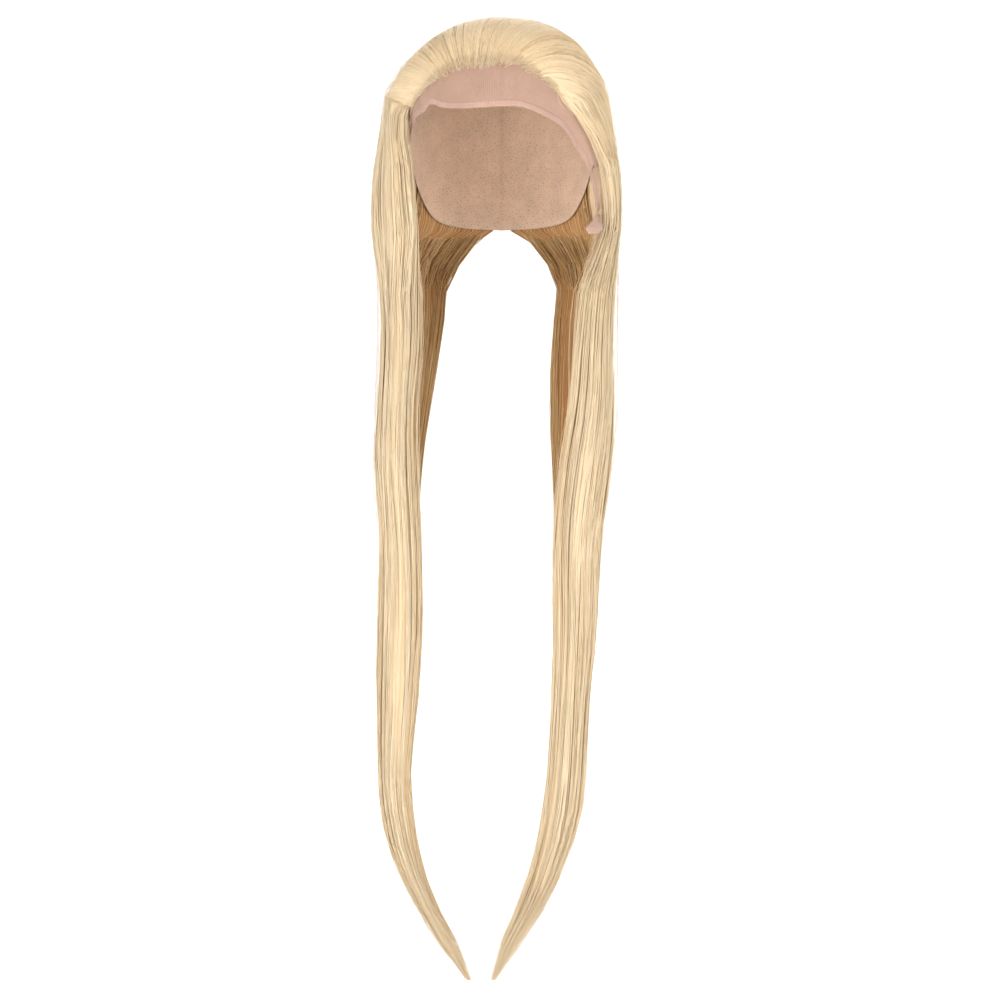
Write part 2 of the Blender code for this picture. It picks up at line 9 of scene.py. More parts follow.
import bmesh
import bpy
import numpy as np
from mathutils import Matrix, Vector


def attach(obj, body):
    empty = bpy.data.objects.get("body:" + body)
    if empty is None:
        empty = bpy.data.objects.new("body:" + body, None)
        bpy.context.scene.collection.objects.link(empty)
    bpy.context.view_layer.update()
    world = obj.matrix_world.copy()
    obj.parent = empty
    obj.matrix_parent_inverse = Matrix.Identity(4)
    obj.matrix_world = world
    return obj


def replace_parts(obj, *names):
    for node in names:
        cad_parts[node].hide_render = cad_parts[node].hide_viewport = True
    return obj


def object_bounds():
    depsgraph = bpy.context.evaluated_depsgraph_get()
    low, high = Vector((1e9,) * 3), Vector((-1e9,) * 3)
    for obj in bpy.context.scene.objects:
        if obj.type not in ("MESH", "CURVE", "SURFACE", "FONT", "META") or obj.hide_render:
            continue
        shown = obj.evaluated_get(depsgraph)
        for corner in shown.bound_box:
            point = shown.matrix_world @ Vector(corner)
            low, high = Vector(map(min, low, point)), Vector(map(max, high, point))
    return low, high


bl_info = {
    "name": "Lace Front Wig",
    "version": (1, 0, 0),
    "blender": (4, 5, 0),
    "location": "View3D > Sidebar > Wig",
    "description": "Builds the cap, lace and strands of a long straight lace front wig",
    "category": "Add Mesh",
}

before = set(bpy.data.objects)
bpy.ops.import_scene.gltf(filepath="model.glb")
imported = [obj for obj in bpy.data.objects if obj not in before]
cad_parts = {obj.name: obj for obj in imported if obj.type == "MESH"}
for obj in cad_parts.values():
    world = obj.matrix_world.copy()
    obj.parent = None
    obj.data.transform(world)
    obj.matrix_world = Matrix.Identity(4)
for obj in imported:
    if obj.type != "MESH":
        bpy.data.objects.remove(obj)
FRAME_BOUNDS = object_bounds()

# Head form inside the cap, and the walls and clearances on it
CAP_HALF_WIDTH = 0.078
CAP_FRONT_REACH = 0.092
CAP_BACK_REACH = 0.100
CAP_CROWN_HEIGHT = 0.105
CAP_NAPE_DROP = 0.172
CAP_NAPE_TUCK = 0.014
EAR_FLARE = 0.003
CAP_ROUNDNESS = 2.4
CAP_WALL = 0.0014
HAIR_GAP = 0.0010

# Hair thicknesses and reach, the lobes and ridges of the crown, and the share of its depth that its
# body has under the strands
CROWN_HAIR_DEPTH = 0.0034
HAIRLINE_DEPTH = 0.0010
SIDE_DEPTHS = {-1: 0.0215, 1: 0.0135}
BACK_HAIR_DEPTH = 0.019
HAIRLINE_RISE = 0.034
CROWN_HEM_DROP = 0.070
MASS_TOP_DROP = 0.0645
HAIR_DROP = 0.796
LOCK_SPREADS = {-1: 0.100, 1: 0.090}
LOCK_FORWARD = 0.083
LOCK_DEPTH = 0.026
BACK_TAIL_DROP = 0.700
LOCK_BOTTOMS = {"side": HAIR_DROP, "back": BACK_TAIL_DROP}
CROWN_LOBES = 15
LOBE_SHARPNESS = 0.7
CROWN_RIDGES = 210
CROWN_BODY = 0.66

# Where hair swells from the front to the sides, and from the sides to the back, in azimuths
SIDE_SWELL = (25, 80)
SIDE_TO_BACK = (100, 150)
HAIRLINE_SWELL = 0.75
FULLNESS = {-1: 1.25, 1: 0.9}
CROWN_SWING = 0.35
HEM_MARGIN = 3
SEAM_END_AZIMUTH = 83
EAR_AZIMUTH = 90

# Sections of the locks
FRONT_LEAN = 0.22
BACK_LEAN = 0.12
MIDDLE_BOW = 0.05
LOCK_SQUARENESS = 0.75

# The body of a lock under its strands: how far it lies inside its section, how much shorter it is
# than the section, where it ends as a share of the lock's drop, and where it starts to close
MASS_INSET = 0.0016
MASS_NARROWING = 0.86
MASS_ENDS = {"side": 0.975, "back": 0.97}
MASS_CLOSING = 0.9

# Below the crown's hem a lock takes up its own thickness over this length
HEM_EASE = 0.060

# Strands rise from the lace to the hair's own depth over this length
ROOT_LIFT = 0.0009
ROOT_RISE = 0.016

# Both locks of a kind: seed of the random draws, how much darker the inside of the body is (painted
# shade), points round and rings along the body, its lobes, the clumps of strands, and how much
# darker inner strands are (painted shade on the lock's inner side)
LOCKS = {
    "side": (23, 0.10, 96, 84, 5, 34, 0.08),
    "back": (41, 0.45, 84, 64, 6, 26, 0.50),
}

# Long strands: points over the crown and down the fall, share on the outside, how deep they lie
# in the lock, the depth that layers are counted in, and how much painted shade darkens a deep one
CROWN_POINTS = 13
FALL_POINTS = 27
OUTER_SHARE = 0.66
STRAND_DEPTH = 0.0015
CLUMP_DEPTH = 0.0006
LAYER_DEPTH = 0.016
DEPTH_PAINTED_SHADE = 25
TONES = (0.46, 0.68)
TONE_SPREAD = 0.06

# Crown strands: points along each, clumps, tones
CROWN_STRAND_POINTS = 17
CROWN_CLUMPS = 70
CROWN_TONES = (0.40, 0.56)

# The pieces of cloth as they were cut, their walls and clearances on the head form, and the row in
# the middle of the lace's border
CAP_CLEARANCE = 0.0002
LACE_LENGTH = 0.36
LACE_CLEARANCE = 0.0003
LACE_MIDDLE = 9
BAND_WALL = 0.0003
TAB_CLEARANCE = 0.0002
TAB_WALL = 0.0006

# Border of the lace: edge azimuth, edge drop, seam azimuth and seam drop, from the left ear tab
# round to the right one, drops in shares of the crown height.
LACE_BORDER = np.array((
    (-78.0, 1.49, -90.0, 1.43),
    (-77.5, 1.24, -89.0, 1.19),
    (-77.0, 1.00, -87.0, 0.95),
    (-73.0, 0.84, -83.0, 0.74),
    (-65.0, 0.74, -76.0, 0.56),
    (-57.0, 0.71, -67.0, 0.43),
    (-50.0, 0.65, -56.0, 0.34),
    (-38.0, 0.68, -42.0, 0.27),
    (-24.0, 0.69, -27.0, 0.23),
    (0.0, 0.676, 0.0, 0.22),
    (11.0, 0.68, 13.0, 0.23),
    (23.0, 0.73, 27.0, 0.29),
    (39.0, 0.836, 46.0, 0.46),
    (49.0, 0.98, 61.0, 0.69),
    (60.0, 1.12, 73.0, 0.93),
    (69.0, 1.32, 81.0, 1.20),
    (75.0, 1.49, 87.0, 1.43),
))

# Ear tabs: drop share of the tab, front and back azimuth from the lace's corner, and the lift of
# the back edge in shares of the tab's height.
EAR_TAB_HEIGHT = 0.016
EAR_TABS = {
    -1: (
        (0.00, 0.0, 11.5, 0.00),
        (0.35, -7.0, 9.5, 0.00),
        (0.70, -11.0, 4.5, 0.00),
        (1.00, -11.0, -4.0, 0.00),
    ),
    1: (
        (0.00, 0.0, 11.5, 0.00),
        (0.35, -9.0, 3.0, 0.20),
        (0.70, -17.0, 0.0, 0.34),
        (1.00, -14.0, -6.0, 0.25),
    ),
}

# Lower edge of the cap behind the lace: azimuth, drop in shares of the nape's drop.
CAP_EDGE = ((92.0, 0.675), (104.0, 0.68), (118.0, 0.83), (132.0, 0.94), (152.0, 0.985), (180.0, 1.0))

# Hairline: azimuth, drop in shares of the crown height.
HAIRLINE = np.array((
    (-72.0, 0.63),
    (-66.0, 0.585),
    (-58.0, 0.515),
    (-44.0, 0.43),
    (-31.0, 0.372),
    (-15.0, 0.36),
    (0.0, 0.348),
    (11.0, 0.36),
    (26.0, 0.456),
    (35.0, 0.537),
    (40.0, 0.63),
))

# Side hair hugging the head: drop share of the nape's drop, front and back azimuth, thickness.
SIDE_HUGS = {
    -1: (
        (0.412, -75.0, -115.0, 1.06),
        (0.490, -71.0, -115.0, 1.08),
        (0.570, -60.0, -115.0, 1.13),
        (0.700, -53.0, -114.0, 1.20),
        (0.850, -49.0, -112.0, 1.25),
        (1.000, -47.0, -108.0, 1.27),
    ),
    1: (
        (0.412, 43.0, 115.0, 1.08),
        (0.490, 51.0, 115.0, 1.20),
        (0.570, 60.0, 115.0, 1.30),
        (0.700, 69.0, 114.0, 1.30),
        (0.850, 75.0, 112.0, 1.26),
        (1.000, 77.0, 108.0, 1.22),
    ),
}

# Side hair hanging free: drop share of the hair's drop, outer and inner in shares of the lock's
# spread, forward in shares of its forward reach, depth in shares of the lock's depth.
SIDE_HANGS = {
    -1: np.array((
        (0.270, 1.00, 0.665, 0.42, 2.30),
        (0.325, 0.978, 0.665, 0.60, 1.80),
        (0.390, 0.998, 0.70, 0.80, 1.40),
        (0.450, 1.020, 0.685, 0.96, 1.10),
        (0.530, 0.980, 0.655, 1.00, 1.00),
        (0.620, 0.996, 0.640, 1.00, 0.98),
        (0.700, 1.012, 0.685, 1.00, 0.95),
        (0.785, 1.009, 0.755, 1.01, 0.86),
        (0.828, 0.977, 0.718, 1.02, 0.80),
        (0.871, 0.887, 0.661, 1.03, 0.72),
        (0.914, 0.738, 0.545, 1.04, 0.62),
        (0.957, 0.555, 0.362, 1.05, 0.48),
        (0.979, 0.429, 0.278, 1.05, 0.34),
        (1.000, 0.300, 0.265, 1.05, 0.10),
    )),
    1: np.array((
        (0.270, 1.030, 0.72, 0.36, 2.30),
        (0.325, 0.995, 0.66, 0.55, 1.85),
        (0.390, 0.996, 0.60, 0.76, 1.45),
        (0.450, 0.960, 0.50, 0.94, 1.15),
        (0.530, 0.877, 0.438, 1.00, 1.00),
        (0.620, 0.845, 0.440, 1.00, 0.98),
        (0.700, 0.773, 0.442, 1.00, 0.95),
        (0.785, 0.740, 0.389, 1.01, 0.86),
        (0.828, 0.696, 0.333, 1.02, 0.80),
        (0.871, 0.586, 0.260, 1.03, 0.72),
        (0.914, 0.429, 0.130, 1.04, 0.62),
        (0.957, 0.206, -0.028, 1.05, 0.48),
        (0.979, 0.047, -0.074, 1.05, 0.34),
        (1.000, -0.064, -0.094, 1.05, 0.10),
    )),
}

# Back hair hugging the head, and sweeping forward below the nape behind the lock.
BACK_HUG = (
    (0.412, 116.5, 179.4, 1.10),
    (0.620, 116.5, 179.4, 1.12),
    (0.820, 115.0, 179.2, 1.02),
    (1.000, 111.0, 176.0, 0.85),
)
BACK_SWEEP = (
    (0.272, 0.86, -0.20, 0.40, -0.92, -1.05, -1.22, 0.80),
    (0.305, 0.84, -0.10, 0.38, -0.74, -0.62, -0.96, 0.78),
    (0.345, 0.82, 0.06, 0.36, -0.48, -0.55, -0.66, 0.76),
    (0.395, 0.78, 0.24, 0.34, -0.18, -0.47, -0.36, 0.72),
    (0.450, 0.74, 0.46, 0.32, 0.18, -0.33, 0.04, 0.66),
    (0.510, 0.72, 0.66, 0.34, 0.52, -0.06, 0.44, 0.52),
    (0.580, 0.74, 0.765, 0.44, 0.75, 0.10, 0.75, 0.36),
    (0.720, 0.76, 0.785, 0.48, 0.78, 0.16, 0.78, 0.32),
    (0.860, 0.74, 0.80, 0.50, 0.795, 0.24, 0.795, 0.26),
    (1.000, 0.56, 0.81, 0.48, 0.81, 0.40, 0.81, 0.10),
)

# Materials of the hair: how much clouds and the way to the tip lighten a strand, what is added to
# its tone, and for the bodies their streaks (across, down, detail) and the painted shade added
# outside and in: a body is darkened all over where it shows between strands, more on its inner half
CLOUD_SHARE = 0.24
TIP_LIGHTENING = 0.16
STRAND_LIFT = 0.02
MASS_STREAKS = ((900.0, 1.2, 2.0), (160.0, 1.0, 3.0))
MASS_PAINTED_SHADE = -0.22
MASS_INNER_PAINTED_SHADE = -0.30

# Lights: name, place, aim, size, power in watts
LIGHTS = (
    ("key_light", (-1.5, -2.6, -0.1), (0, 0, -0.5), 1.8, 60),
    ("fill_light", (1.8, -2.4, -0.3), (0, 0, -0.5), 1.9, 46),
    ("back_light", (0.4, 2.2, 0.6), (0, 0, -0.3), 1.6, 30),
    ("backdrop_light", (0.0, 1.4, 2.6), (0, 3.5, 0.2), 2.5, 60),
)
WORLD_STRENGTH = 0.58

# The photograph's camera: its pixel frame, focal length in pixels and place
FRAME_PIXELS = 1000
FOCAL_PIXELS = 2353.0
SENSOR_MM = 36.0
CAMERA_PLACE = (-0.0017, -2.0, -0.144)
CAMERA_PITCH = math.radians(7.3)


class HairSizes(bpy.types.PropertyGroup):
    strand_radius: bpy.props.FloatProperty(
        name="Strand Radius", description="Radius of a strand of hair at its middle",
        default=0.00034, min=0.00005, max=0.002, unit="LENGTH", precision=5)
    fine_radius: bpy.props.FloatProperty(
        name="Fine Hair Radius", description="Radius of baby hairs and flyaways",
        default=0.00013, min=0.00003, max=0.001, unit="LENGTH", precision=5)
    side_count: bpy.props.IntProperty(
        name="Side Strands", description="Strands in each side lock", default=700, min=10)
    back_count: bpy.props.IntProperty(
        name="Back Strands", description="Strands in each half of the back hair",
        default=520, min=10)
    crown_count: bpy.props.IntProperty(
        name="Crown Strands", description="Shorter strands that fill the crown",
        default=1100, min=10)
    baby_count: bpy.props.IntProperty(
        name="Baby Hairs", description="Short fine hairs along the hairline",
        default=420, min=10)
    flyaway_count: bpy.props.IntProperty(
        name="Flyaways", description="Loose fine hairs on each side", default=60, min=0)
    waviness: bpy.props.FloatProperty(
        name="Waviness", description="How far a strand strays from a straight fall",
        default=0.0013, min=0.0, max=0.01, unit="LENGTH", precision=4)


class NetSizes(bpy.types.PropertyGroup):
    lace_wall: bpy.props.FloatProperty(
        name="Lace Thickness", description="Thickness of the sheer lace",
        default=0.0004, min=0.0001, max=0.002, unit="LENGTH", precision=5)
    lace_pitch: bpy.props.FloatProperty(
        name="Lace Mesh", description="Width of one hole in the lace",
        default=0.0010, min=0.0003, max=0.004, unit="LENGTH", precision=5)
    band_width: bpy.props.FloatProperty(
        name="Lace Band", description="Width of the denser band along the lace's free edge",
        default=0.0056, min=0.001, max=0.02, unit="LENGTH", precision=4)
    cap_pitch: bpy.props.FloatProperty(
        name="Cap Mesh", description="Width of one hole in the cap's net",
        default=0.0024, min=0.0005, max=0.006, unit="LENGTH", precision=5)


class WigColours(bpy.types.PropertyGroup):
    deep: bpy.props.FloatVectorProperty(
        name="Hair Deep", description="Hair in the shade behind the face", subtype="COLOR",
        size=3, default=(0.33, 0.12, 0.03), min=0, max=1)
    shade: bpy.props.FloatVectorProperty(
        name="Hair Shade", description="Darkest strands", subtype="COLOR", size=3,
        default=(0.66, 0.43, 0.20), min=0, max=1)
    middle: bpy.props.FloatVectorProperty(
        name="Hair Middle", description="Most of the hair", subtype="COLOR", size=3,
        default=(0.82, 0.64, 0.405), min=0, max=1)
    light: bpy.props.FloatVectorProperty(
        name="Hair Light", description="Lightest strands", subtype="COLOR", size=3,
        default=(0.86, 0.715, 0.50), min=0, max=1)
    lace: bpy.props.FloatVectorProperty(
        name="Lace", description="Threads of the lace", subtype="COLOR", size=3,
        default=(0.69, 0.45, 0.36), min=0, max=1)
    cap: bpy.props.FloatVectorProperty(
        name="Cap Net", description="Threads of the cap's net", subtype="COLOR", size=3,
        default=(0.66, 0.47, 0.34), min=0, max=1)


def smooth_step(low, high, value):
    share = np.clip((np.asarray(value, float) - low) / (high - low), 0.0, 1.0)
    return share * share * (3 - 2 * share)


def interpolate(table, keys):
    """Rows of a table at many keys, from a smooth curve through its rows, without the key."""
    table = np.asarray(table, float)
    places = table[:, 0]
    keys = np.clip(np.asarray(keys, float), places[0], places[-1])
    low = np.clip(np.searchsorted(places, keys, side="left") - 1, 0, len(places) - 2)
    before, high = np.maximum(low - 1, 0), low + 1
    after = np.minimum(low + 2, len(places) - 1)
    span = (places[high] - places[low])[..., None]
    share = (keys[..., None] - places[low][..., None]) / span
    rows = table[:, 1:]
    slope_low = (rows[high] - rows[before]) / (places[high] - places[before])[..., None] * span
    slope_high = (rows[after] - rows[low]) / (places[after] - places[low])[..., None] * span
    return (
        (2 * share**3 - 3 * share**2 + 1) * rows[low]
        + (share**3 - 2 * share**2 + share) * slope_low
        + (3 * share**2 - 2 * share**3) * rows[high]
        + (share**3 - share**2) * slope_high
    )


def ring_share(drop):
    """Width of the head form at a drop, as a share of its widest ring."""
    rise = np.maximum(1 - np.asarray(drop) / CAP_CROWN_HEIGHT, 0.0)
    return np.maximum(1 - rise**CAP_ROUNDNESS, 0.0) ** (1 / CAP_ROUNDNESS)


def drop_at(share):
    rise = np.maximum(1 - np.asarray(share)**CAP_ROUNDNESS, 0.0) ** (1 / CAP_ROUNDNESS)
    return CAP_CROWN_HEIGHT * (1 - rise)


def polar_of(drop):
    """Angle down from the crown at which the head form has this drop."""
    return np.arctan2(ring_share(drop) * CAP_FRONT_REACH, CAP_CROWN_HEIGHT - np.asarray(drop))


def drop_of_polar(angle):
    steepness = np.tan(np.clip(angle, 0, 1.5)) * CAP_CROWN_HEIGHT / CAP_FRONT_REACH
    return CAP_CROWN_HEIGHT * (1 - (1 + steepness**CAP_ROUNDNESS) ** (-1 / CAP_ROUNDNESS))


def cap_point(azimuth, drop, lift=0.0):
    """Points on the head form, lifted off it, as an array with a last axis of X, Y and Z."""
    azimuth, drop, lift = np.broadcast_arrays(
        np.asarray(azimuth, float), np.asarray(drop, float), np.asarray(lift, float))
    turn = np.radians(azimuth)
    share = ring_share(drop)
    facing = np.cos(turn)
    below = smooth_step(CAP_CROWN_HEIGHT, CAP_NAPE_DROP, drop)
    flare = EAR_FLARE * smooth_step(0.9 * CAP_CROWN_HEIGHT, 1.4 * CAP_CROWN_HEIGHT, drop)
    flare = flare * smooth_step(-0.5, 0.1, facing)
    reach = np.where(
        facing > 0,
        CAP_FRONT_REACH + lift + flare,
        CAP_BACK_REACH + lift + flare - CAP_NAPE_TUCK * below * facing * facing,
    )
    rise = 1 - drop / CAP_CROWN_HEIGHT
    height = (CAP_CROWN_HEIGHT + lift) * np.maximum(rise, 0.0)
    height = height - CAP_CROWN_HEIGHT * np.maximum(-rise, 0.0)
    return np.stack((
        (CAP_HALF_WIDTH + lift + flare) * share * np.sin(turn),
        -reach * share * facing,
        height - CAP_CROWN_HEIGHT,
    ), axis=-1)


def unit(vectors):
    return vectors / np.maximum(np.linalg.norm(vectors, axis=-1, keepdims=True), 1e-9)


def heading(azimuth):
    """The way out from the crown at an azimuth, in plan."""
    turn = np.radians(azimuth)
    return np.stack((np.sin(turn), -np.cos(turn)), axis=-1)


def azimuth_of(points):
    """Azimuths of points round the head form."""
    reach = np.where(points[..., 1] < 0, CAP_FRONT_REACH, CAP_BACK_REACH)
    return np.degrees(np.arctan2(points[..., 0] / CAP_HALF_WIDTH, -points[..., 1] / reach))


def hairline_of(along):
    """Azimuth and drop of the hairline, a share of the way from its left end to its right end."""
    first, last = HAIRLINE[0, 0], HAIRLINE[-1, 0]
    azimuth = first + (last - first) * np.asarray(along, float)
    return azimuth, interpolate(HAIRLINE, azimuth)[..., 0] * CAP_CROWN_HEIGHT


def plan_of(azimuth, drop):
    """Place on the head form unrolled flat around its crown, as angles down from there."""
    return heading(azimuth) * polar_of(drop)[..., None]


def hem_azimuth(along):
    """Azimuth at which the hair from this share of the hairline leaves the crown."""
    front_left, front_right = HAIRLINE[0, 0] - HEM_MARGIN, HAIRLINE[-1, 0] + HEM_MARGIN
    swing = 0.5 - 0.5 * np.cos(np.pi * np.asarray(along, float))
    share = np.asarray(along) * (1 - CROWN_SWING) + swing * CROWN_SWING
    return front_left - (360 - (front_right - front_left)) * share


def along_of_hem(azimuth):
    """Share of the hairline whose hair leaves the crown at this azimuth."""
    shares = np.linspace(0, 1, 400)
    turned = np.where(np.asarray(azimuth) > HAIRLINE[-1, 0], np.asarray(azimuth) - 360, azimuth)
    return np.interp(-turned, -hem_azimuth(shares), shares)


def hair_depth(azimuth):
    """Full thickness of the hair round the head."""
    side = np.where(azimuth < 0, SIDE_DEPTHS[-1], SIDE_DEPTHS[1])
    return side + (BACK_HAIR_DEPTH - side) * smooth_step(*SIDE_TO_BACK, np.abs(azimuth))


def crown_point(along, across, layer, spread=0.0):
    """Points in the crown hair: across follows the hair, layer runs from the cap to the outside."""
    along, across, layer, spread = np.broadcast_arrays(
        *(np.asarray(value, float) for value in (along, across, layer, spread)))
    azimuth, drop = hairline_of(along)
    root = plan_of(azimuth, drop)
    hem_polar = polar_of(CROWN_HEM_DROP)
    hem = heading(hem_azimuth(along)) * hem_polar
    plan = root + (hem - root) * across[..., None]
    sideways = unit((hem - root)[..., ::-1] * (-1, 1))
    plan = plan + sideways * (spread / CAP_CROWN_HEIGHT)[..., None]
    angle = np.minimum(np.linalg.norm(plan, axis=-1), hem_polar)
    turn = np.degrees(np.arctan2(plan[..., 0], -plan[..., 1]))
    height = drop_of_polar(angle)
    run = np.linalg.norm(plan - root, axis=-1) * CAP_FRONT_REACH
    straight = np.minimum(run / HAIRLINE_RISE, 1)
    rise = smooth_step(0, HAIRLINE_RISE, run) * HAIRLINE_SWELL + straight * (1 - HAIRLINE_SWELL)
    near_front = smooth_step(*SIDE_SWELL, np.abs(turn))
    wide = (height / CROWN_HEM_DROP) ** np.where(turn < 0, FULLNESS[-1], FULLNESS[1])
    full = CROWN_HAIR_DEPTH + (hair_depth(turn) - CROWN_HAIR_DEPTH) * wide * near_front
    depth = HAIRLINE_DEPTH + (full - HAIRLINE_DEPTH) * rise
    lift = CAP_WALL + HAIR_GAP + depth * layer
    rooted = smooth_step(-0.002, ROOT_RISE, run)
    return cap_point(turn, height, ROOT_LIFT + (lift - ROOT_LIFT) * rooted)


def hug_rows(rows, depth, side=1):
    """Front, middle and back of the sections that hug the head, with their thicknesses."""
    result = []
    for share, front, back, thickness in rows:
        drop, thick = share * CAP_NAPE_DROP, thickness * depth
        azimuths = side * np.array((front, (front + back) / 2, back))
        points = cap_point(azimuths, drop, CAP_WALL + HAIR_GAP + thick / 2)
        result.append((drop, *points[:, :2].ravel(), thick))
    return result


def side_rows(side):
    """Sections of a side lock from the crown's hem to its tip."""
    rows = hug_rows(SIDE_HUGS[side], SIDE_DEPTHS[side])
    spread = LOCK_SPREADS[side]
    for share, outer, inner, forward, depth in SIDE_HANGS[side]:
        centre_y = -forward * LOCK_FORWARD
        half_depth = depth * LOCK_DEPTH / 2
        centre_x = side * spread * (outer + inner) / 2
        width = spread * (outer - inner)
        rows.append((
            share * HAIR_DROP,
            centre_x - side * width * FRONT_LEAN, centre_y - half_depth,
            centre_x + side * width * MIDDLE_BOW, centre_y,
            centre_x + side * width * BACK_LEAN, centre_y + half_depth,
            width,
        ))
    return np.array(rows)


def back_rows(side):
    """Sections of one half of the back hair from the crown's hem to the end of its tail."""
    rows = hug_rows(BACK_HUG, BACK_HAIR_DEPTH, side)
    spread = LOCK_SPREADS[side]
    for share, outer_x, outer_y, middle_x, middle_y, inner_x, inner_y, thickness in BACK_SWEEP:
        hang = interpolate(SIDE_HANGS[side], share * BACK_TAIL_DROP / HAIR_DROP)
        outer, inner = hang[..., 0], hang[..., 1]
        row = [share * BACK_TAIL_DROP]
        for x, y in ((outer_x, outer_y), (middle_x, middle_y), (inner_x, inner_y)):
            row += [side * spread * (inner + (outer - inner) * x), -LOCK_FORWARD * y]
        rows.append((*row, thickness * BACK_HAIR_DEPTH))
    return np.array(rows)


def lock_rows(which, side):
    return side_rows(side) if which == "side" else back_rows(side)


def hem_thinning(place, drop, thickness):
    """Share of its thickness that a lock has near the crown's hem, where the crown is thinner."""
    azimuth = azimuth_of(place)
    crown = CROWN_HAIR_DEPTH + (hair_depth(azimuth) - CROWN_HAIR_DEPTH) * smooth_step(
        *SIDE_SWELL, np.abs(azimuth))
    least = np.minimum(crown / thickness, 1)
    return least + (1 - least) * smooth_step(CROWN_HEM_DROP, CROWN_HEM_DROP + HEM_EASE, drop)


def lock_point(rows, side, drop, share, layer, square=0.0):
    """Points in a lock: share runs from its front to its back, layer from inside to outside.

    Square keeps the section's thickness up to its ends, 0 for a rounded one.
    """
    drop, share, layer, square = np.broadcast_arrays(
        *(np.asarray(value, float) for value in (drop, share, layer, square)))
    values = interpolate(rows, drop)
    front, middle, back = values[..., 0:2], values[..., 2:4], values[..., 4:6]
    control = middle * 2 - (front + back) / 2
    near = share[..., None]
    place = front * (1 - near) ** 2 + control * (2 * near * (1 - near)) + back * near**2
    along = (control - front) * (1 - near) + (back - control) * near
    outward = unit(np.stack((along[..., 1], -along[..., 0]), axis=-1) * side)
    rounded = (2 * np.sqrt(np.clip(share * (1 - share), 0, 0.25))) ** LOCK_SQUARENESS
    half = values[..., 6] / 2 * (rounded + (1 - rounded) * square)
    thinned = hem_thinning(place, drop, values[..., 6])
    offset = half * (layer * 2 - 1)
    offset = offset * thinned - values[..., 6] / 2 * (1 - thinned)
    place = place + outward * offset[..., None]
    point = np.concatenate((place, -drop[..., None]), axis=-1)
    return clear_of_cap(point, CAP_WALL + HAIR_GAP)


def clear_of_cap(points, lift):
    """The points, pushed out sideways where they are too close to the head form."""
    drop = -points[..., 2]
    tab_bottom = LACE_BORDER[0, 1] * CAP_CROWN_HEIGHT + EAR_TAB_HEIGHT + HAIR_GAP
    wall = cap_point(azimuth_of(points), drop, lift)
    inside = np.hypot(wall[..., 0], wall[..., 1]) > np.hypot(points[..., 0], points[..., 1])
    inside &= (drop > 0) & (drop < tab_bottom)
    result = points.copy()
    result[..., :2] = np.where(inside[..., None], wall[..., :2], points[..., :2])
    return result


def add_node(tree, kind, inputs=(), **settings):
    """A node with its settings, and its inputs by name or number: values, or sockets to link."""
    node = tree.nodes.new(kind)
    for name, value in settings.items():
        setattr(node, name, value)
    for key, value in dict(inputs).items():
        if isinstance(value, bpy.types.NodeSocket):
            tree.links.new(value, node.inputs[key])
        else:
            node.inputs[key].default_value = value
    return node


def add_sum(tree, operation, *values):
    """The result of a sum of sockets and numbers."""
    return add_node(tree, "ShaderNodeMath", enumerate(values), operation=operation).outputs[0]


def add_step(tree, value, low, high, before, after):
    """A value that changes smoothly from one number to another between two places."""
    node = add_node(tree, "ShaderNodeMapRange", {
        "Value": value, "From Min": low, "From Max": high, "To Min": before, "To Max": after,
    }, interpolation_type="SMOOTHSTEP")
    return node.outputs["Result"]


def add_ramp(tree, value, *stops):
    """A colour from a ramp through the given places and colours."""
    ramp = add_node(tree, "ShaderNodeValToRGB", {"Fac": value})
    ramp.color_ramp.interpolation = "LINEAR"
    while len(ramp.color_ramp.elements) < len(stops):
        ramp.color_ramp.elements.new(0.5)
    for element, (position, colour) in zip(ramp.color_ramp.elements, stops):
        element.position = position
        element.color = (*colour, 1)
    return ramp.outputs["Color"]


def shaded_material(name, make_nodes):
    """A material whose shader takes the inputs that make_nodes returns for its node tree."""
    material = bpy.data.materials.new(name)
    material.use_nodes = True
    tree = material.node_tree
    shader = tree.nodes["Principled BSDF"]
    for key, value in make_nodes(tree).items():
        if isinstance(value, bpy.types.NodeSocket):
            tree.links.new(value, shader.inputs[key])
        else:
            shader.inputs[key].default_value = value
    return material


def strand_material(name, darker=0.0):
    """Blonde strands: each has its own tone, a little deeper at the root and lighter to the tip."""
    colours = bpy.context.scene.wig_colours

    def make_nodes(tree):
        tone = add_node(tree, "ShaderNodeAttribute", attribute_name="tone")
        along = add_node(tree, "ShaderNodeAttribute", attribute_name="along")
        place = add_node(tree, "ShaderNodeTexCoord").outputs["Object"]
        cloud = add_node(
            tree, "ShaderNodeTexNoise", {"Vector": place, "Scale": 28, "Detail": 3},
            noise_dimensions="3D")
        shade = add_sum(
            tree, "MULTIPLY_ADD", cloud.outputs["Fac"], CLOUD_SHARE, tone.outputs["Fac"])
        shade = add_sum(tree, "MULTIPLY_ADD", along.outputs["Fac"], TIP_LIGHTENING, shade)
        shade = add_sum(tree, "ADD", shade, STRAND_LIFT - darker)
        colour = add_ramp(
            tree, shade, (0.0, colours.deep), (0.30, colours.shade), (0.62, colours.middle),
            (0.95, colours.light))
        return {"Base Color": colour, "Roughness": 0.5, "Specular IOR Level": 0.25}

    return shaded_material(name, make_nodes)


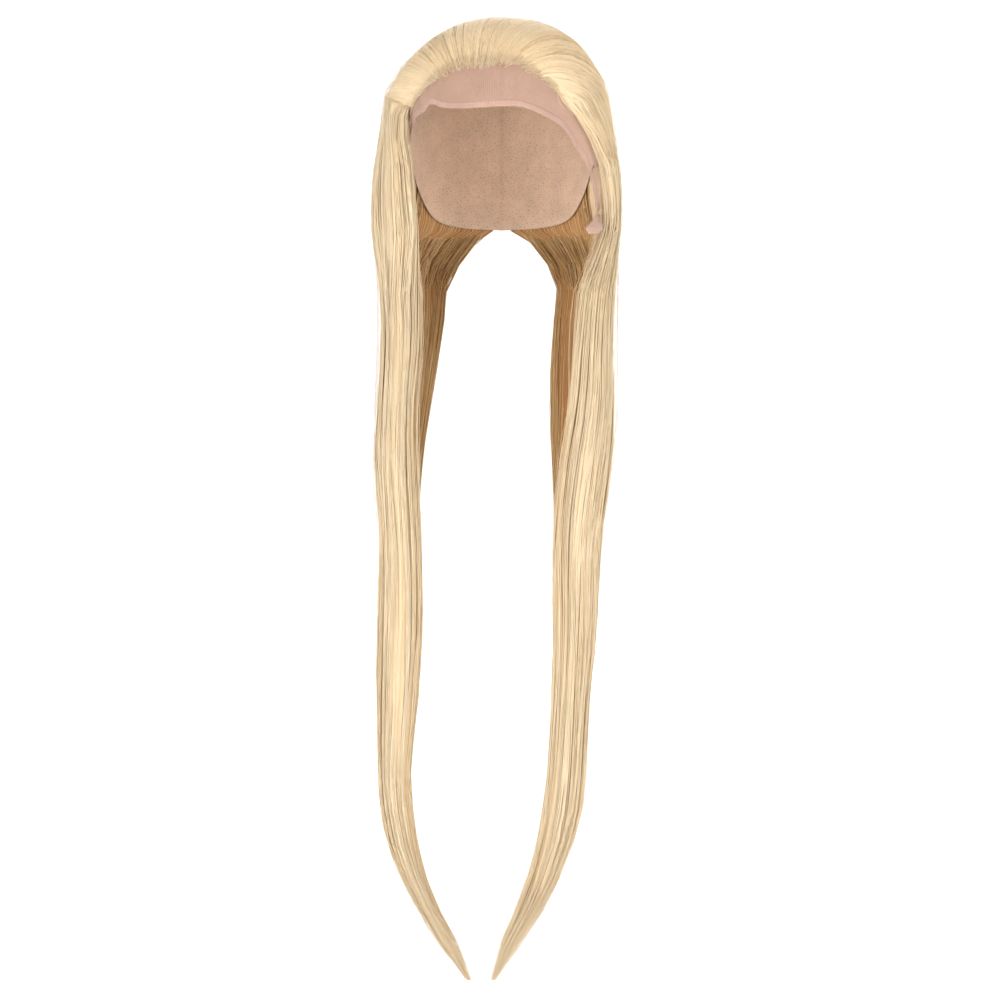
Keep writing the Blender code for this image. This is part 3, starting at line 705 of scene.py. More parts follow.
def mass_material(name, darker=0.0):
    """The body of the hair under the loose strands, streaked along its fall, with painted shade over
    it that is deeper on its inner half.
    """
    colours = bpy.context.scene.wig_colours

    def make_nodes(tree):
        fall = add_node(tree, "ShaderNodeUVMap", uv_map="fall").outputs["UV"]
        streaks = []
        for across, down, detail in MASS_STREAKS:
            drawn = add_node(
                tree, "ShaderNodeMapping", {"Vector": fall, "Scale": (across, down, 1)})
            noise = add_node(
                tree, "ShaderNodeTexNoise",
                {"Vector": drawn.outputs["Vector"], "Scale": 1, "Detail": detail},
                noise_dimensions="2D")
            streaks.append(noise.outputs["Fac"])
        fine, broad = streaks
        around = add_node(tree, "ShaderNodeSeparateXYZ", {0: fall}).outputs["X"]
        # Painted shade: the body is darkened all over, and more past the middle of the fall map, a
        # lock's inner half
        inner = add_step(tree, around, 0.45, 0.55, MASS_PAINTED_SHADE, MASS_INNER_PAINTED_SHADE - darker)
        shade = add_sum(tree, "MULTIPLY_ADD", broad, 0.9, inner)
        shade = add_sum(tree, "MULTIPLY_ADD", fine, 0.8, shade)
        colour = add_ramp(
            tree, shade, (0.0, colours.deep), (0.25, colours.shade), (0.65, colours.middle),
            (1.0, colours.light))
        bump = add_node(
            tree, "ShaderNodeBump", {"Strength": 0.6, "Distance": 0.0006, "Height": fine})
        return {
            "Base Color": colour, "Normal": bump.outputs["Normal"],
            "Roughness": 0.55, "Specular IOR Level": 0.2,
        }

    return shaded_material(name, make_nodes)


def net_material(name, colour, pitch, open_share, thread_alpha, gap_alpha, flat=True, hole=1.0):
    """A fine net, threads round small holes: in the surface's own UV map, in metres, or if it
    isn't flat in the piece's own space. Hole is how dark the holes are, 1 for as light as threads.
    """
    def make_nodes(tree):
        if flat:
            place = add_node(tree, "ShaderNodeUVMap", uv_map="cloth").outputs["UV"]
        else:
            place = add_node(tree, "ShaderNodeTexCoord").outputs["Object"]
        cells = add_node(
            tree, "ShaderNodeTexVoronoi", voronoi_dimensions="2D" if flat else "3D",
            feature="DISTANCE_TO_EDGE")
        cells.inputs["Scale"].default_value = 1 / pitch
        cells.inputs["Randomness"].default_value = 0.35 if flat else 0.9
        tree.links.new(place, cells.inputs["Vector"])
        edge = cells.outputs["Distance"]
        alpha = add_step(tree, edge, open_share * 0.6, open_share, thread_alpha, gap_alpha)
        threads = add_step(tree, edge, open_share * 0.6, open_share, 1.0, hole)
        cloud = add_node(
            tree, "ShaderNodeTexNoise", {"Vector": place, "Scale": 60}, noise_dimensions="3D")
        clouded = add_ramp(
            tree, cloud.outputs["Fac"], (0.3, [0.9 * value for value in colour]),
            (0.7, [min(1, 1.06 * value) for value in colour]))
        darkened = add_node(
            tree, "ShaderNodeVectorMath", {0: clouded, "Scale": threads}, operation="SCALE")
        bump = add_node(
            tree, "ShaderNodeBump", {"Strength": 0.5, "Distance": 0.0003, "Height": threads})
        return {
            "Base Color": darkened.outputs["Vector"], "Alpha": alpha,
            "Normal": bump.outputs["Normal"], "Roughness": 0.75, "Sheen Weight": 0.25,
        }

    return shaded_material(name, make_nodes)


def link_mesh(name, mesh, material):
    mesh.materials.clear()
    mesh.materials.append(material)
    item = bpy.data.objects.new(name, mesh)
    bpy.context.scene.collection.objects.link(item)
    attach(item, "root")
    return item


def finished_mesh(work, name):
    mesh = bpy.data.meshes.new(name)
    work.to_mesh(mesh)
    work.free()
    mesh.shade_smooth()
    return mesh


def thick_patch(name, columns, rows, place, uv_name, uv_place):
    """A closed wall: a grid laid on one surface and extruded to another, with a UV map.

    Place takes the shares along and across and 0 or 1 for the inner or outer surface, and
    uv_place the shares.
    """
    work = bmesh.new()
    bmesh.ops.create_grid(work, x_segments=columns, y_segments=rows, size=0.5)
    raised = bmesh.ops.extrude_face_region(work, geom=work.faces[:], use_keep_orig=True)
    outer = {item for item in raised["geom"] if isinstance(item, bmesh.types.BMVert)}
    vertices = list(work.verts)
    shares = np.array([vertex.co[:2] for vertex in vertices]) + 0.5
    walls = np.array([1.0 if vertex in outer else 0.0 for vertex in vertices])
    points = place(shares[:, 0], shares[:, 1], walls)
    coordinates = uv_place(shares[:, 0], shares[:, 1])
    layer = work.loops.layers.uv.new(uv_name)
    for vertex, point, pair in zip(vertices, points, coordinates):
        vertex.co = point
        for loop in vertex.link_loops:
            loop[layer].uv = pair
    bmesh.ops.recalc_face_normals(work, faces=work.faces)
    return finished_mesh(work, name)


def lock_mass(name, which, side, ring_size, ring_count, lobes):
    """The body of a lock: a ring extruded from section to section and closed at both ends."""
    rows = lock_rows(which, side)
    bottom = LOCK_BOTTOMS[which] * MASS_ENDS[which]
    work = bmesh.new()
    start = bmesh.ops.create_circle(work, segments=ring_size, radius=1, cap_ends=False)
    ring = sorted(start["verts"], key=lambda vertex: math.atan2(*vertex.co.yx) % math.tau)
    layer = work.loops.layers.uv.new("fall")
    turns = np.arange(ring_size) / ring_size * math.tau
    share = 0.5 - 0.5 * np.cos(turns)
    outer = np.sin(turns)
    edges = work.edges[:]
    order = {vertex: index for index, vertex in enumerate(ring)}
    places = {}
    bmesh.ops.contextual_create(work, geom=edges)
    for step in range(ring_count):
        if step:
            extruded = bmesh.ops.extrude_edge_only(work, edges=edges)["geom"]
            edges = [item for item in extruded if isinstance(item, bmesh.types.BMEdge)]
            following = {}
            for vertex in (item for item in extruded if isinstance(item, bmesh.types.BMVert)):
                before = next(edge.other_vert(vertex) for edge in vertex.link_edges
                              if edge.other_vert(vertex) in order)
                following[vertex] = order[before]
            order = following
        travel = step / (ring_count - 1)
        drop = MASS_TOP_DROP + (bottom - MASS_TOP_DROP) * travel**1.1
        thickness = interpolate(rows, drop)[..., 6]
        margin = min(MASS_INSET / max(float(thickness), 1e-5), 0.42)
        ripple = 0.5 + 0.5 * np.cos(math.tau * share * lobes + 1.3 * math.sin(drop * 9))
        reach = np.where(outer > 0, (1 - margin) - 0.05 * (1 - ripple), margin)
        fade = 1 - 0.8 * float(smooth_step(MASS_CLOSING, 1.0, travel))
        layers = 0.5 + (reach - 0.5) * np.minimum(1.0, np.abs(outer) * 6) * fade
        drops = np.full(ring_size, drop)
        ends = joined_ends(drops, share, which)
        narrow = 0.5 + (share - 0.5) * (MASS_NARROWING + (1 - MASS_NARROWING) * ends) * fade
        points = lock_point(rows, side, drops, narrow, layers, ends * 0.8)
        for vertex, index in order.items():
            vertex.co = points[index]
            places[vertex] = (index / ring_size, drop)
    bmesh.ops.contextual_create(work, geom=edges)
    bmesh.ops.recalc_face_normals(work, faces=work.faces)
    for face in work.faces:
        across = [places[loop.vert][0] for loop in face.loops]
        wrap = max(across) - min(across) > 0.5
        for loop, value in zip(face.loops, across):
            turn = value + 1 if wrap and value < 0.5 else value
            loop[layer].uv = (turn, places[loop.vert][1])
    return finished_mesh(work, name)


def tube_nodes():
    """Geometry nodes that turn polylines with a radius into closed three-sided strands."""
    existing = bpy.data.node_groups.get("strand_tubes")
    if existing:
        return existing
    group = bpy.data.node_groups.new("strand_tubes", "GeometryNodeTree")
    group.interface.new_socket("Geometry", in_out="INPUT", socket_type="NodeSocketGeometry")
    group.interface.new_socket("Geometry", in_out="OUTPUT", socket_type="NodeSocketGeometry")
    entry = group.nodes.new("NodeGroupInput")
    result = group.nodes.new("NodeGroupOutput")
    to_curve = group.nodes.new("GeometryNodeMeshToCurve")
    radius = group.nodes.new("GeometryNodeInputNamedAttribute")
    radius.data_type = "FLOAT"
    radius.inputs["Name"].default_value = "thickness"
    profile = group.nodes.new("GeometryNodeCurvePrimitiveCircle")
    profile.inputs["Resolution"].default_value = 3
    profile.inputs["Radius"].default_value = 1.0
    to_mesh = group.nodes.new("GeometryNodeCurveToMesh")
    to_mesh.inputs["Fill Caps"].default_value = True
    smooth = group.nodes.new("GeometryNodeSetShadeSmooth")
    links = group.links
    links.new(entry.outputs[0], to_curve.inputs["Mesh"])
    links.new(radius.outputs["Attribute"], to_mesh.inputs["Scale"])
    links.new(to_curve.outputs["Curve"], to_mesh.inputs["Curve"])
    links.new(profile.outputs["Curve"], to_mesh.inputs["Profile Curve"])
    links.new(to_mesh.outputs["Mesh"], smooth.inputs["Geometry"])
    links.new(smooth.outputs["Geometry"], result.inputs[0])
    return group


def make_strands(name, paths, radii, tones, material):
    """Closed strands along many paths: paths is strands by points by 3, radii strands by points."""
    count, points = paths.shape[:2]
    mesh = bpy.data.meshes.new(name + "_paths")
    mesh.vertices.add(count * points)
    mesh.vertices.foreach_set("co", paths.astype(np.float32).ravel())
    first = (np.arange(count)[:, None] * points + np.arange(points - 1)).ravel()
    mesh.edges.add(len(first))
    mesh.edges.foreach_set("vertices", np.stack((first, first + 1), axis=1).astype(np.int32).ravel())
    along = np.broadcast_to(np.linspace(0, 1, points), (count, points))
    for label, values in (
        ("thickness", radii),
        ("tone", np.broadcast_to(tones[:, None], (count, points))),
        ("along", along),
    ):
        attribute = mesh.attributes.new(label, "FLOAT", "POINT")
        attribute.data.foreach_set("value", values.astype(np.float32).ravel())
    guide = bpy.data.objects.new(name + "_paths", mesh)
    bpy.context.scene.collection.objects.link(guide)
    modifier = guide.modifiers.new("tubes", "NODES")
    modifier.node_group = tube_nodes()
    graph = bpy.context.evaluated_depsgraph_get()
    made = bpy.data.meshes.new_from_object(guide.evaluated_get(graph))
    made.name = name
    bpy.data.objects.remove(guide)
    bpy.data.meshes.remove(mesh)
    return link_mesh(name, made, material)


def ease_bend(paths, bend, reach, rounds):
    """Eases the bend that strands have at one of their points, and keeps their wider curve."""
    result = paths.copy()
    index = np.arange(paths.shape[1])
    weight = np.exp(-((index - bend) / reach) ** 2)[None, :, None]
    weight[:, 0] = weight[:, -1] = 0
    for factor in (0.5, -0.54) * rounds:
        middle = result.copy()
        middle[:, 1:-1] = (result[:, :-2] + result[:, 2:]) / 2
        result = result + (middle - result) * weight * factor
    return result


def strand_waves(source, clump, count, points, size):
    """Sideways drift of strands: slow waves that a clump shares and small ones of their own."""
    fall = np.linspace(0, 1, points)[None, :]
    clumps = int(clump.max()) + 1
    drift = np.zeros((count, points, 2))
    for turns, share in ((1.6, 0.9), (3.7, 0.5)):
        phase = source.uniform(0, math.tau, (clumps, 2))[clump]
        drift += share * np.sin(fall[..., None] * turns * math.tau + phase[:, None, :])
    for turns, share in ((5.0, 0.28), (11.0, 0.12)):
        phase = source.uniform(0, math.tau, (count, 2))
        drift += share * np.sin(fall[..., None] * turns * math.tau + phase[:, None, :])
    grow = smooth_step(0.05, 0.55, fall)[..., None]
    return drift * size * grow


def taper(radius, count, points, source, root=0.5, tip=0.25):
    """Radii along strands that swell from the root and thin towards the tip."""
    fall = np.linspace(0, 1, points)[None, :]
    body = radius * source.uniform(0.75, 1.2, (count, 1))
    rise = root + (1 - root) * smooth_step(0, 0.06, fall)
    thin = tip + (1 - tip) * (1 - smooth_step(0.82, 1.0, fall))
    return body * rise * thin


def joined_ends(drop, share, which):
    """How square a section's ends are: full where its lock lies beside another on the head."""
    hugging = 1 - smooth_step(CAP_NAPE_DROP * 0.8, CAP_NAPE_DROP * 1.6, drop)
    end = share if which == "side" else np.maximum(share, 1 - share)
    return hugging * smooth_step(0.6, 1.0, end)


def long_paths(source, side, which, count, outside=0.0, wave=1.0):
    """Strands from the hairline over the crown, down the head and along a lock to its tip.

    Turn runs round the section, from -0.5 to 0 on its inside and from 0 to 0.5 on its outside.
    """
    sizes = bpy.context.scene.wig_hair
    rows, bottom = lock_rows(which, side), LOCK_BOTTOMS[which]
    hug = SIDE_HUGS[side][0] if which == "side" else BACK_HUG[0]
    clumps, inner_painted_shade = LOCKS[which][5:]
    outer = source.uniform(0, 1, count) < OUTER_SHARE
    turn = np.where(outer, 0.5, -0.5) * source.uniform(0, 1, count)
    turn = np.sort(turn)
    clump = np.minimum(((turn + 0.5) * clumps).astype(int), clumps - 1)
    centre = (clump + 0.5) / clumps - 0.5
    depth = source.uniform(0, 1, count) ** 1.2 * STRAND_DEPTH
    depth = depth + source.uniform(0.0, CLUMP_DEPTH, clumps)[clump] - outside

    # Over the crown, most from the hairline and some from further back
    start = source.uniform(-0.018, 0.085, count)
    start = np.where(source.uniform(0, 1, count) < 0.25, source.uniform(0.0, 0.3, count), start)
    step = np.linspace(0, 1, CROWN_POINTS, endpoint=False)[None, :]
    across = start[:, None] + (1 - start[:, None]) * step
    share = 0.5 - 0.5 * np.cos(turn * math.tau)
    azimuth = hug[1] + (hug[2] - hug[1]) * share
    if which == "back":
        azimuth = side * azimuth
    along = along_of_hem(azimuth)
    waves = strand_waves(source, clump, count, CROWN_POINTS + FALL_POINTS, sizes.waviness * wave)
    layer = np.where(
        turn > 0, 1 - depth / LAYER_DEPTH, 0.04 + np.maximum(depth, 0) / LAYER_DEPTH)
    crown = crown_point(along[:, None], across, layer[:, None], waves[:, :CROWN_POINTS, 0] * 0.4)

    # Down the lock, some ending well above the tip
    ends = source.uniform(0, 1, count) ** 3 * 0.16
    ends = np.where(source.uniform(0, 1, count) < 0.12, ends + source.uniform(0, 0.3, count), ends)
    top = CROWN_HEM_DROP + 0.004
    last = bottom - (bottom - top) * ends
    travel = np.linspace(0, 1, FALL_POINTS)[None, :]
    drop = top + (last[:, None] - top) * travel**1.08
    gather = smooth_step(0.25, 0.8, (drop - top) / (bottom - top))
    around = turn[:, None] + (centre - turn)[:, None] * gather * 0.35
    thick = np.maximum(interpolate(rows, drop)[..., 6], 0.004)
    within = np.clip(2 * depth[:, None] / thick, -0.3, 0.9)
    height = np.sin(around * math.tau)
    edge = (1 - np.clip(depth, 0, 1) / LAYER_DEPTH)[:, None]
    place = 0.5 - 0.5 * np.cos(around * math.tau) * edge
    square = joined_ends(drop, place, which)
    rounded = (2 * np.sqrt(np.clip(place * (1 - place), 0.0001, 0.25))) ** LOCK_SQUARENESS
    bulge = np.minimum(np.abs(height) ** LOCK_SQUARENESS / rounded, 1)
    bulge = bulge + (1 - bulge) * square
    sunk = source.uniform(0, 0.9, count)[:, None] * smooth_step(0.82, 1.0, drop / bottom)
    layers = 0.5 + 0.5 * np.sign(height) * bulge * (1 - within) * (1 - sunk)
    below = lock_point(rows, side, drop, place, layers, square)
    below[..., :2] += waves[:, CROWN_POINTS:] * smooth_step(0.07, 0.25, drop)[..., None]
    paths = ease_bend(np.concatenate((crown, below), axis=1), CROWN_POINTS, 2, 4)
    if which == "back":
        paths = ease_bend(paths, CROWN_POINTS + 5, 2, 4)
    paths = clear_of_cap(paths, CAP_WALL + 0.0006)
    # Strands on the inside of the lock are darkened: painted shade.
    tones = source.uniform(*TONES, clumps)[clump] - np.where(turn < 0, inner_painted_shade, 0.0)
    # Strands deeper in the lock get painted shade.
    tones = tones + source.normal(0, TONE_SPREAD, count) - DEPTH_PAINTED_SHADE * np.clip(depth, 0, 1)
    return paths, np.clip(tones, 0, 1)


def side_name(side):
    return "left" if side < 0 else "right"


def build_locks(which, count):
    """Both locks of the side hair or of the back hair, each a body and its strands."""
    seed, darker, ring_size, ring_count, lobes = LOCKS[which][:5]
    radius = bpy.context.scene.wig_hair.strand_radius
    strands = strand_material(which + "_strands")
    # darker is the painted shade on the inner half of each body
    body = mass_material(which + "_mass", darker)
    slot = which + "_hair"
    for side in (-1, 1):
        source = np.random.default_rng(seed + side)
        name = f"{slot}_{side_name(side)}"
        mesh = lock_mass(name + "_mass", which, side, ring_size, ring_count, lobes)
        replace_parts(link_mesh(name + "_mass", mesh, body), name)
        paths, tones = long_paths(source, side, which, count)
        radii = taper(radius, len(paths), paths.shape[1], source)
        make_strands(name + "_strands", paths, radii, tones, strands)


class WIG_OT_build_cap(bpy.types.Operator):
    """Makes the net cap that the hair is sewn to"""

    bl_idname = "wig.build_cap"
    bl_label = "Build Cap"

    def execute(self, context):
        sizes, colours = context.scene.wig_nets, context.scene.wig_colours
        seam = np.abs(LACE_BORDER[:, 2]) <= SEAM_END_AZIMUTH
        tables = {}
        for side in (-1, 1):
            rows = [(0.0, LACE_BORDER[LACE_MIDDLE, 3] * CAP_CROWN_HEIGHT)]
            rows += [
                (abs(row[2]), row[3] * CAP_CROWN_HEIGHT)
                for row in LACE_BORDER[seam] if row[2] * side > 0 and row[3] < 1
            ]
            rows += [(turn, share * CAP_NAPE_DROP) for turn, share in CAP_EDGE]
            tables[side] = sorted(rows)

        def edge_drop(azimuth):
            before_ear = np.abs(azimuth) < EAR_AZIMUTH
            shifted = np.maximum(np.abs(azimuth) - np.where(before_ear, 1.6, 0.0), 0)
            left, right = (interpolate(tables[side], shifted)[..., 0] for side in (-1, 1))
            return np.where(azimuth < 0, left, right) - np.where(before_ear, 0.0016, 0)

        def place(along, across, wall):
            azimuth = -180 + 360 * along
            edge = edge_drop(azimuth)
            edge_share = np.where(edge < CAP_CROWN_HEIGHT, ring_share(edge), 1.0)
            length = np.maximum(edge - CAP_CROWN_HEIGHT, 0) + CAP_CROWN_HEIGHT * edge_share
            walked = length * (1 - across)
            share = 0.02 + (edge_share - 0.02) * walked / (CAP_CROWN_HEIGHT * edge_share)
            dome = walked <= CAP_CROWN_HEIGHT * edge_share
            drop = np.where(
                dome, drop_at(np.minimum(share, 1.0)),
                CAP_CROWN_HEIGHT + walked - CAP_CROWN_HEIGHT * edge_share)
            lift = np.where(wall > 0, CAP_WALL - CAP_CLEARANCE, CAP_CLEARANCE)
            return cap_point(azimuth, drop, lift)

        def cloth(along, across):
            return np.stack((along * 0.55, across * 0.17), axis=-1)

        mesh = thick_patch("cap_net", 120, 44, place, "cloth", cloth)
        work = bmesh.new()
        work.from_mesh(mesh)
        bmesh.ops.remove_doubles(work, verts=work.verts, dist=0.00002)
        bmesh.ops.recalc_face_normals(work, faces=work.faces)
        work.to_mesh(mesh)
        work.free()
        material = net_material("cap_net", colours.cap, sizes.cap_pitch, 0.30, 1.0, 1.0, False, 0.78)
        cap = link_mesh("cap_net", mesh, material)
        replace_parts(cap, "cap_dome")
        return {"FINISHED"}


def lace_point(along, across, lift):
    """Points of the lace front: across runs from the free edge to the seam."""
    rows = np.column_stack((np.linspace(0, 1, len(LACE_BORDER)), LACE_BORDER))
    values = interpolate(rows, along)
    azimuth = values[..., 0] + (values[..., 2] - values[..., 0]) * across
    drop = (values[..., 1] + (values[..., 3] - values[..., 1]) * across) * CAP_CROWN_HEIGHT
    return cap_point(azimuth, drop, lift)


class WIG_OT_build_lace(bpy.types.Operator):
    """Makes the sheer lace front with the denser band along its free edge"""

    bl_idname = "wig.build_lace"
    bl_label = "Build Lace Front"

    def execute(self, context):
        sizes, colours = context.scene.wig_nets, context.scene.wig_colours

        def width_of(along):
            gap = lace_point(along, np.ones_like(along), 0.0) - lace_point(along, 0 * along, 0.0)
            return np.linalg.norm(gap, axis=-1)

        def lace_cloth(along, across):
            return np.stack((along * LACE_LENGTH, across * width_of(along)), axis=-1)

        def loose(along):
            return 0.0060 * smooth_step(0.74, 0.90, along) * (1 - 0.7 * smooth_step(0.95, 1, along))

        def lace_place(along, across, wall):
            ripple = 0.00025 * np.sin(along * 61) * np.sin(across * 7 + along * 13)
            lift = LACE_CLEARANCE + ripple + sizes.lace_wall * wall + loose(along) * across
            return lace_point(along, across, lift)

        mesh = thick_patch("lace_sheet", 150, 20, lace_place, "cloth", lace_cloth)
        material = net_material("lace_sheet", colours.lace, sizes.lace_pitch, 0.20, 0.46, 0.04)
        lace = link_mesh("lace_sheet", mesh, material)
        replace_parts(lace, "lace_front")

        def band_place(along, across, wall):
            share = sizes.band_width * across / np.maximum(width_of(along), 0.004)
            fold = 0.00012 * np.sin(along * 230)
            lift = LACE_CLEARANCE + sizes.lace_wall * 1.1 + fold + BAND_WALL * wall
            lift = lift + loose(along) * share
            return lace_point(along, share, lift)

        def band_cloth(along, across):
            return np.stack((along * LACE_LENGTH, across * sizes.band_width), axis=-1)

        mesh = thick_patch("lace_band", 150, 4, band_place, "cloth", band_cloth)
        material = net_material("lace_band", colours.lace, sizes.lace_pitch, 0.26, 0.64, 0.20)
        band = link_mesh("lace_band", mesh, material)
        return {"FINISHED"}


class WIG_OT_build_ear_tabs(bpy.types.Operator):
    """Makes the lace tabs in front of the ears"""

    bl_idname = "wig.build_ear_tabs"
    bl_label = "Build Ear Tabs"

    def execute(self, context):
        sizes, colours = context.scene.wig_nets, context.scene.wig_colours
        material = net_material("ear_tab", colours.lace, sizes.lace_pitch, 0.24, 0.85, 0.34)
        for side, corner in ((-1, LACE_BORDER[0]), (1, LACE_BORDER[-1])):
            top = max(corner[1], corner[3]) * CAP_CROWN_HEIGHT + 0.0004

            def place(along, across, wall):
                ends = interpolate(EAR_TABS[side], across)
                azimuth = abs(corner[0]) + ends[..., 0] + (ends[..., 1] - ends[..., 0]) * along
                curl = 0.0004 * np.sin(along * 3.0) + EAR_TAB_HEIGHT * ends[..., 2] * along
                lift = TAB_CLEARANCE + curl + TAB_WALL * wall
                return cap_point(azimuth * side, top + EAR_TAB_HEIGHT * across, lift)

            def cloth(along, across):
                return np.stack((along * 0.02, across * EAR_TAB_HEIGHT), axis=-1)

            name = f"ear_tab_{side_name(side)}"
            mesh = thick_patch(name + "_lace", 20, 14, place, "cloth", cloth)
            tab = link_mesh(name + "_lace", mesh, material)
            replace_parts(tab, name)
        return {"FINISHED"}


class WIG_OT_build_crown_hair(bpy.types.Operator):
    """Makes the hair over the top of the head"""

    bl_idname = "wig.build_crown_hair"
    bl_label = "Build Crown Hair"

    def execute(self, context):
        sizes = context.scene.wig_hair
        source = np.random.default_rng(11)

        def place(along, across, wall):
            ripple = np.abs(np.sin(np.pi * CROWN_LOBES * along)) ** LOBE_SHARPNESS
            fine = 0.5 + 0.5 * np.sin(along * CROWN_RIDGES + 2 * np.sin(across * 5))
            layer = wall * (CROWN_BODY + 0.10 * ripple + 0.05 * fine)
            first = 0.085 + 0.05 * np.exp(-(((along - 0.6) / 0.15) ** 2))
            start = first + (1 - first) * across
            point = crown_point(along, start, layer)
            point[..., 2] = np.maximum(point[..., 2], -CROWN_HEM_DROP - 0.002)
            return point

        def fall(along, across):
            return np.stack((along, across * 0.2), axis=-1)

        mesh = thick_patch("crown_mass", 210, 36, place, "fall", fall)
        mass = link_mesh("crown_mass", mesh, mass_material("crown_mass"))
        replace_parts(mass, "crown_hair")

        count, points = sizes.crown_count, CROWN_STRAND_POINTS
        along = np.sort(source.uniform(0, 1, count))
        clump = np.minimum((along * CROWN_CLUMPS).astype(int), CROWN_CLUMPS - 1)
        start = source.uniform(0.0, 0.30, count)
        close = source.uniform(-0.012, 0.055, count)
        start = np.where(source.uniform(0, 1, count) < 0.6, close, start)
        reach = np.minimum(start + source.uniform(0.7, 1.0, count), source.uniform(0.8, 1.0, count))
        step = np.linspace(0, 1, points)[None, :]
        across = start[:, None] + (reach - start)[:, None] * step
        outer = 0.98 - 0.18 * source.uniform(0, 1, count) ** 2
        layer = outer[:, None] * (1 - 0.5 * smooth_step(0.8, 1.0, step))
        waves = strand_waves(source, clump, count, points, sizes.waviness * 0.5)
        paths = crown_point(along[:, None], across, layer, waves[..., 0])
        tones = source.uniform(*CROWN_TONES, CROWN_CLUMPS)[clump]
        tones = np.clip(tones + source.normal(0, TONE_SPREAD, count), 0, 1)
        # A narrow band of strands is darkened: painted shadow along a parting.
        tones -= 0.45 * np.exp(-(((along - 0.70) / 0.010) ** 2))
        radii = taper(sizes.strand_radius, count, points, source, root=0.35)
        make_strands(
            "crown_strands", paths, radii, tones, strand_material("crown_strands"))
        return {"FINISHED"}


class WIG_OT_build_side_hair(bpy.types.Operator):
    """Makes the long hair from each temple to the tip of its lock"""

    bl_idname = "wig.build_side_hair"
    bl_label = "Build Side Hair"

    def execute(self, context):
        build_locks("side", context.scene.wig_hair.side_count)
        return {"FINISHED"}


class WIG_OT_build_back_hair(bpy.types.Operator):
    """Makes the hair behind the head, swept forward below the nape"""

    bl_idname = "wig.build_back_hair"
    bl_label = "Build Back Hair"

    def execute(self, context):
        build_locks("back", context.scene.wig_hair.back_count)
        return {"FINISHED"}


class WIG_OT_build_fine_hair(bpy.types.Operator):
    """Makes the baby hairs along the hairline and the loose flyaway hairs"""

    bl_idname = "wig.build_fine_hair"
    bl_label = "Build Fine Hair"

    def execute(self, context):
        sizes = context.scene.wig_hair
        source = np.random.default_rng(5)
        material = strand_material("fine_hair", -0.12)
        count, points = sizes.baby_count, 9
        along = source.uniform(0, 1, count)
        azimuth, drop = hairline_of(along)
        root = plan_of(azimuth, drop)
        away = unit(heading(hem_azimuth(along)) * polar_of(CROWN_HEM_DROP) - root)
        turn = source.normal(0, 0.5, count)
        turned = np.stack((
            away[:, 0] * np.cos(turn) - away[:, 1] * np.sin(turn),
            away[:, 0] * np.sin(turn) + away[:, 1] * np.cos(turn)), axis=-1)
        length = source.uniform(0.008, 0.030, count) / CAP_CROWN_HEIGHT
        root = root - away * (source.uniform(-0.002, 0.006, count) / CAP_CROWN_HEIGHT)[:, None]
        step = np.linspace(0, 1, points)[None, :, None]
        blend = turned[:, None, :] * (1 - 0.6 * step) + away[:, None, :] * (0.6 * step)
        plan = root[:, None, :] + blend * step * length[:, None, None]
        lift = CAP_WALL + source.uniform(0.0, 0.0012, (count, 1)) + 0.0016 * step[..., 0]
        angle = np.linalg.norm(plan, axis=-1)
        around = np.degrees(np.arctan2(plan[..., 0], -plan[..., 1]))
        paths = cap_point(around, drop_of_polar(angle), lift)
        radii = taper(sizes.fine_radius, count, points, source)
        tones = source.uniform(0.35, 0.9, count)
        make_strands("baby_hairs", paths, radii, tones, material)

        for side in (-1, 1):
            loose = []
            shades = []
            for which, share in (("side", 0.7), ("back", 0.3)):
                total = max(int(sizes.flyaway_count * share), 1)
                paths, tones = long_paths(
                    source, side, which, total, outside=0.0022, wave=2.0)
                loose.append(paths)
                shades.append(tones)
            paths = np.concatenate(loose)
            radii = taper(sizes.fine_radius, len(paths), paths.shape[1], source)
            make_strands(
                f"flyaways_{side_name(side)}", paths, radii, np.concatenate(shades), material)
        return {"FINISHED"}


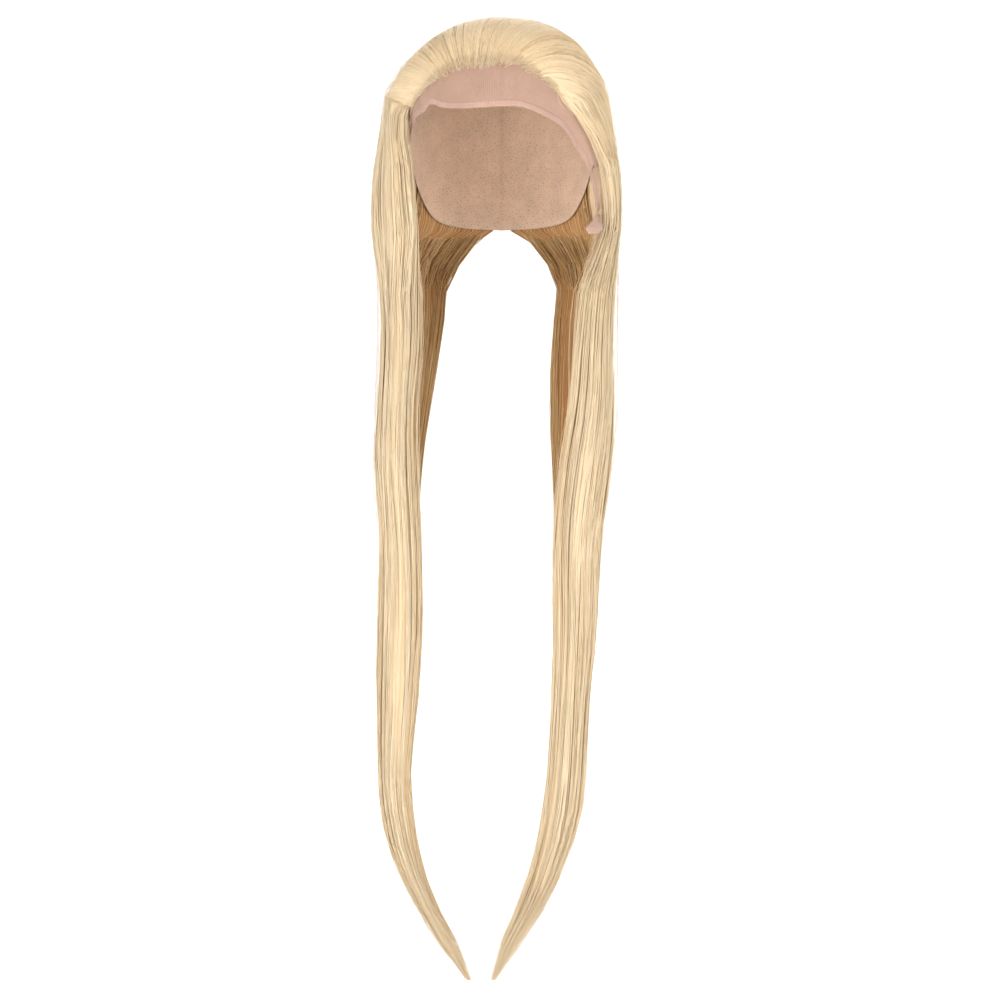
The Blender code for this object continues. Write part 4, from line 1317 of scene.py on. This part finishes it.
class WIG_OT_build_stage(bpy.types.Operator):
    """Sets the pale floor and backdrop, the soft lights and the camera"""

    bl_idname = "wig.build_stage"
    bl_label = "Build Stage"

    def execute(self, context):
        scene = context.scene
        work = bmesh.new()
        bmesh.ops.create_grid(work, x_segments=1, y_segments=1, size=4)
        back = [edge for edge in work.edges if all(vertex.co.y > 0 for vertex in edge.verts)]
        lifted = bmesh.ops.extrude_edge_only(work, edges=back)["geom"]
        bmesh.ops.translate(
            work, vec=(0, 0, 5),
            verts=[item for item in lifted if isinstance(item, bmesh.types.BMVert)])
        corner = [edge for edge in work.edges if len(edge.link_faces) == 2]
        bmesh.ops.bevel(work, geom=corner, offset=1.5, segments=24, profile=0.5,
                        affect="EDGES", material=-1)
        bmesh.ops.translate(work, vec=(0, 0, FRAME_BOUNDS[0][2] - 0.02), verts=work.verts)
        mesh = finished_mesh(work, "backdrop")
        white = bpy.data.materials.new("backdrop_white")
        white.use_nodes = True
        shader = white.node_tree.nodes["Principled BSDF"]
        shader.inputs["Base Color"].default_value = (0.96, 0.96, 0.96, 1)
        shader.inputs["Roughness"].default_value = 0.95
        mesh.materials.append(white)
        backdrop = bpy.data.objects.new("backdrop", mesh)
        scene.collection.objects.link(backdrop)

        world = bpy.data.worlds.new("studio")
        world.use_nodes = True
        sky = world.node_tree.nodes["Background"]
        sky.inputs["Color"].default_value = (1, 1, 1, 1)
        sky.inputs["Strength"].default_value = WORLD_STRENGTH
        scene.world = world
        for name, place, aim, size, power in LIGHTS:
            light = bpy.data.lights.new(name, "AREA")
            light.energy = power
            light.size = size
            lamp = bpy.data.objects.new(name, light)
            scene.collection.objects.link(lamp)
            lamp.location = place
            direction = np.array(aim) - np.array(place)
            bearing = math.atan2(direction[1], direction[0])
            tilt = math.atan2(-direction[2], math.hypot(direction[0], direction[1]))
            lamp.rotation_euler = (math.pi / 2 - tilt, 0, bearing - math.pi / 2)

        camera = bpy.data.cameras.new("camera")
        camera.sensor_width = SENSOR_MM
        camera.lens = FOCAL_PIXELS / FRAME_PIXELS * SENSOR_MM
        view = bpy.data.objects.new("camera", camera)
        scene.collection.objects.link(view)
        view.location = CAMERA_PLACE
        view.rotation_euler = (math.pi / 2 - CAMERA_PITCH, 0, 0)
        scene.camera = view
        scene.view_settings.view_transform = "Standard"
        return {"FINISHED"}


class WIG_PT_panel(bpy.types.Panel):
    """Sizes, colours and build steps of the wig"""

    bl_idname = "WIG_PT_panel"
    bl_label = "Lace Front Wig"
    bl_space_type = "VIEW_3D"
    bl_region_type = "UI"
    bl_category = "Wig"

    def draw(self, context):
        layout = self.layout
        scene = context.scene
        for group in (scene.wig_hair, scene.wig_nets, scene.wig_colours):
            box = layout.box()
            for name in group.bl_rna.properties.keys():
                if name not in {"name", "rna_type"}:
                    box.prop(group, name)
        for operator in OPERATORS:
            layout.operator(operator.bl_idname)


GROUPS = (HairSizes, NetSizes, WigColours)
OPERATORS = (
    WIG_OT_build_stage,
    WIG_OT_build_cap,
    WIG_OT_build_lace,
    WIG_OT_build_ear_tabs,
    WIG_OT_build_crown_hair,
    WIG_OT_build_side_hair,
    WIG_OT_build_back_hair,
    WIG_OT_build_fine_hair,
)


def register():
    for group in (*GROUPS, *OPERATORS, WIG_PT_panel):
        bpy.utils.register_class(group)
    bpy.types.Scene.wig_hair = bpy.props.PointerProperty(type=HairSizes)
    bpy.types.Scene.wig_nets = bpy.props.PointerProperty(type=NetSizes)
    bpy.types.Scene.wig_colours = bpy.props.PointerProperty(type=WigColours)


def unregister():
    del bpy.types.Scene.wig_hair
    del bpy.types.Scene.wig_nets
    del bpy.types.Scene.wig_colours
    for group in reversed((*GROUPS, *OPERATORS, WIG_PT_panel)):
        bpy.utils.unregister_class(group)


def main():
    register()
    bpy.ops.wig.build_stage()
    bpy.ops.wig.build_cap()
    bpy.ops.wig.build_lace()
    bpy.ops.wig.build_ear_tabs()
    bpy.ops.wig.build_crown_hair()
    bpy.ops.wig.build_side_hair()
    bpy.ops.wig.build_back_hair()
    bpy.ops.wig.build_fine_hair()


if __name__ == "__main__":
    main()
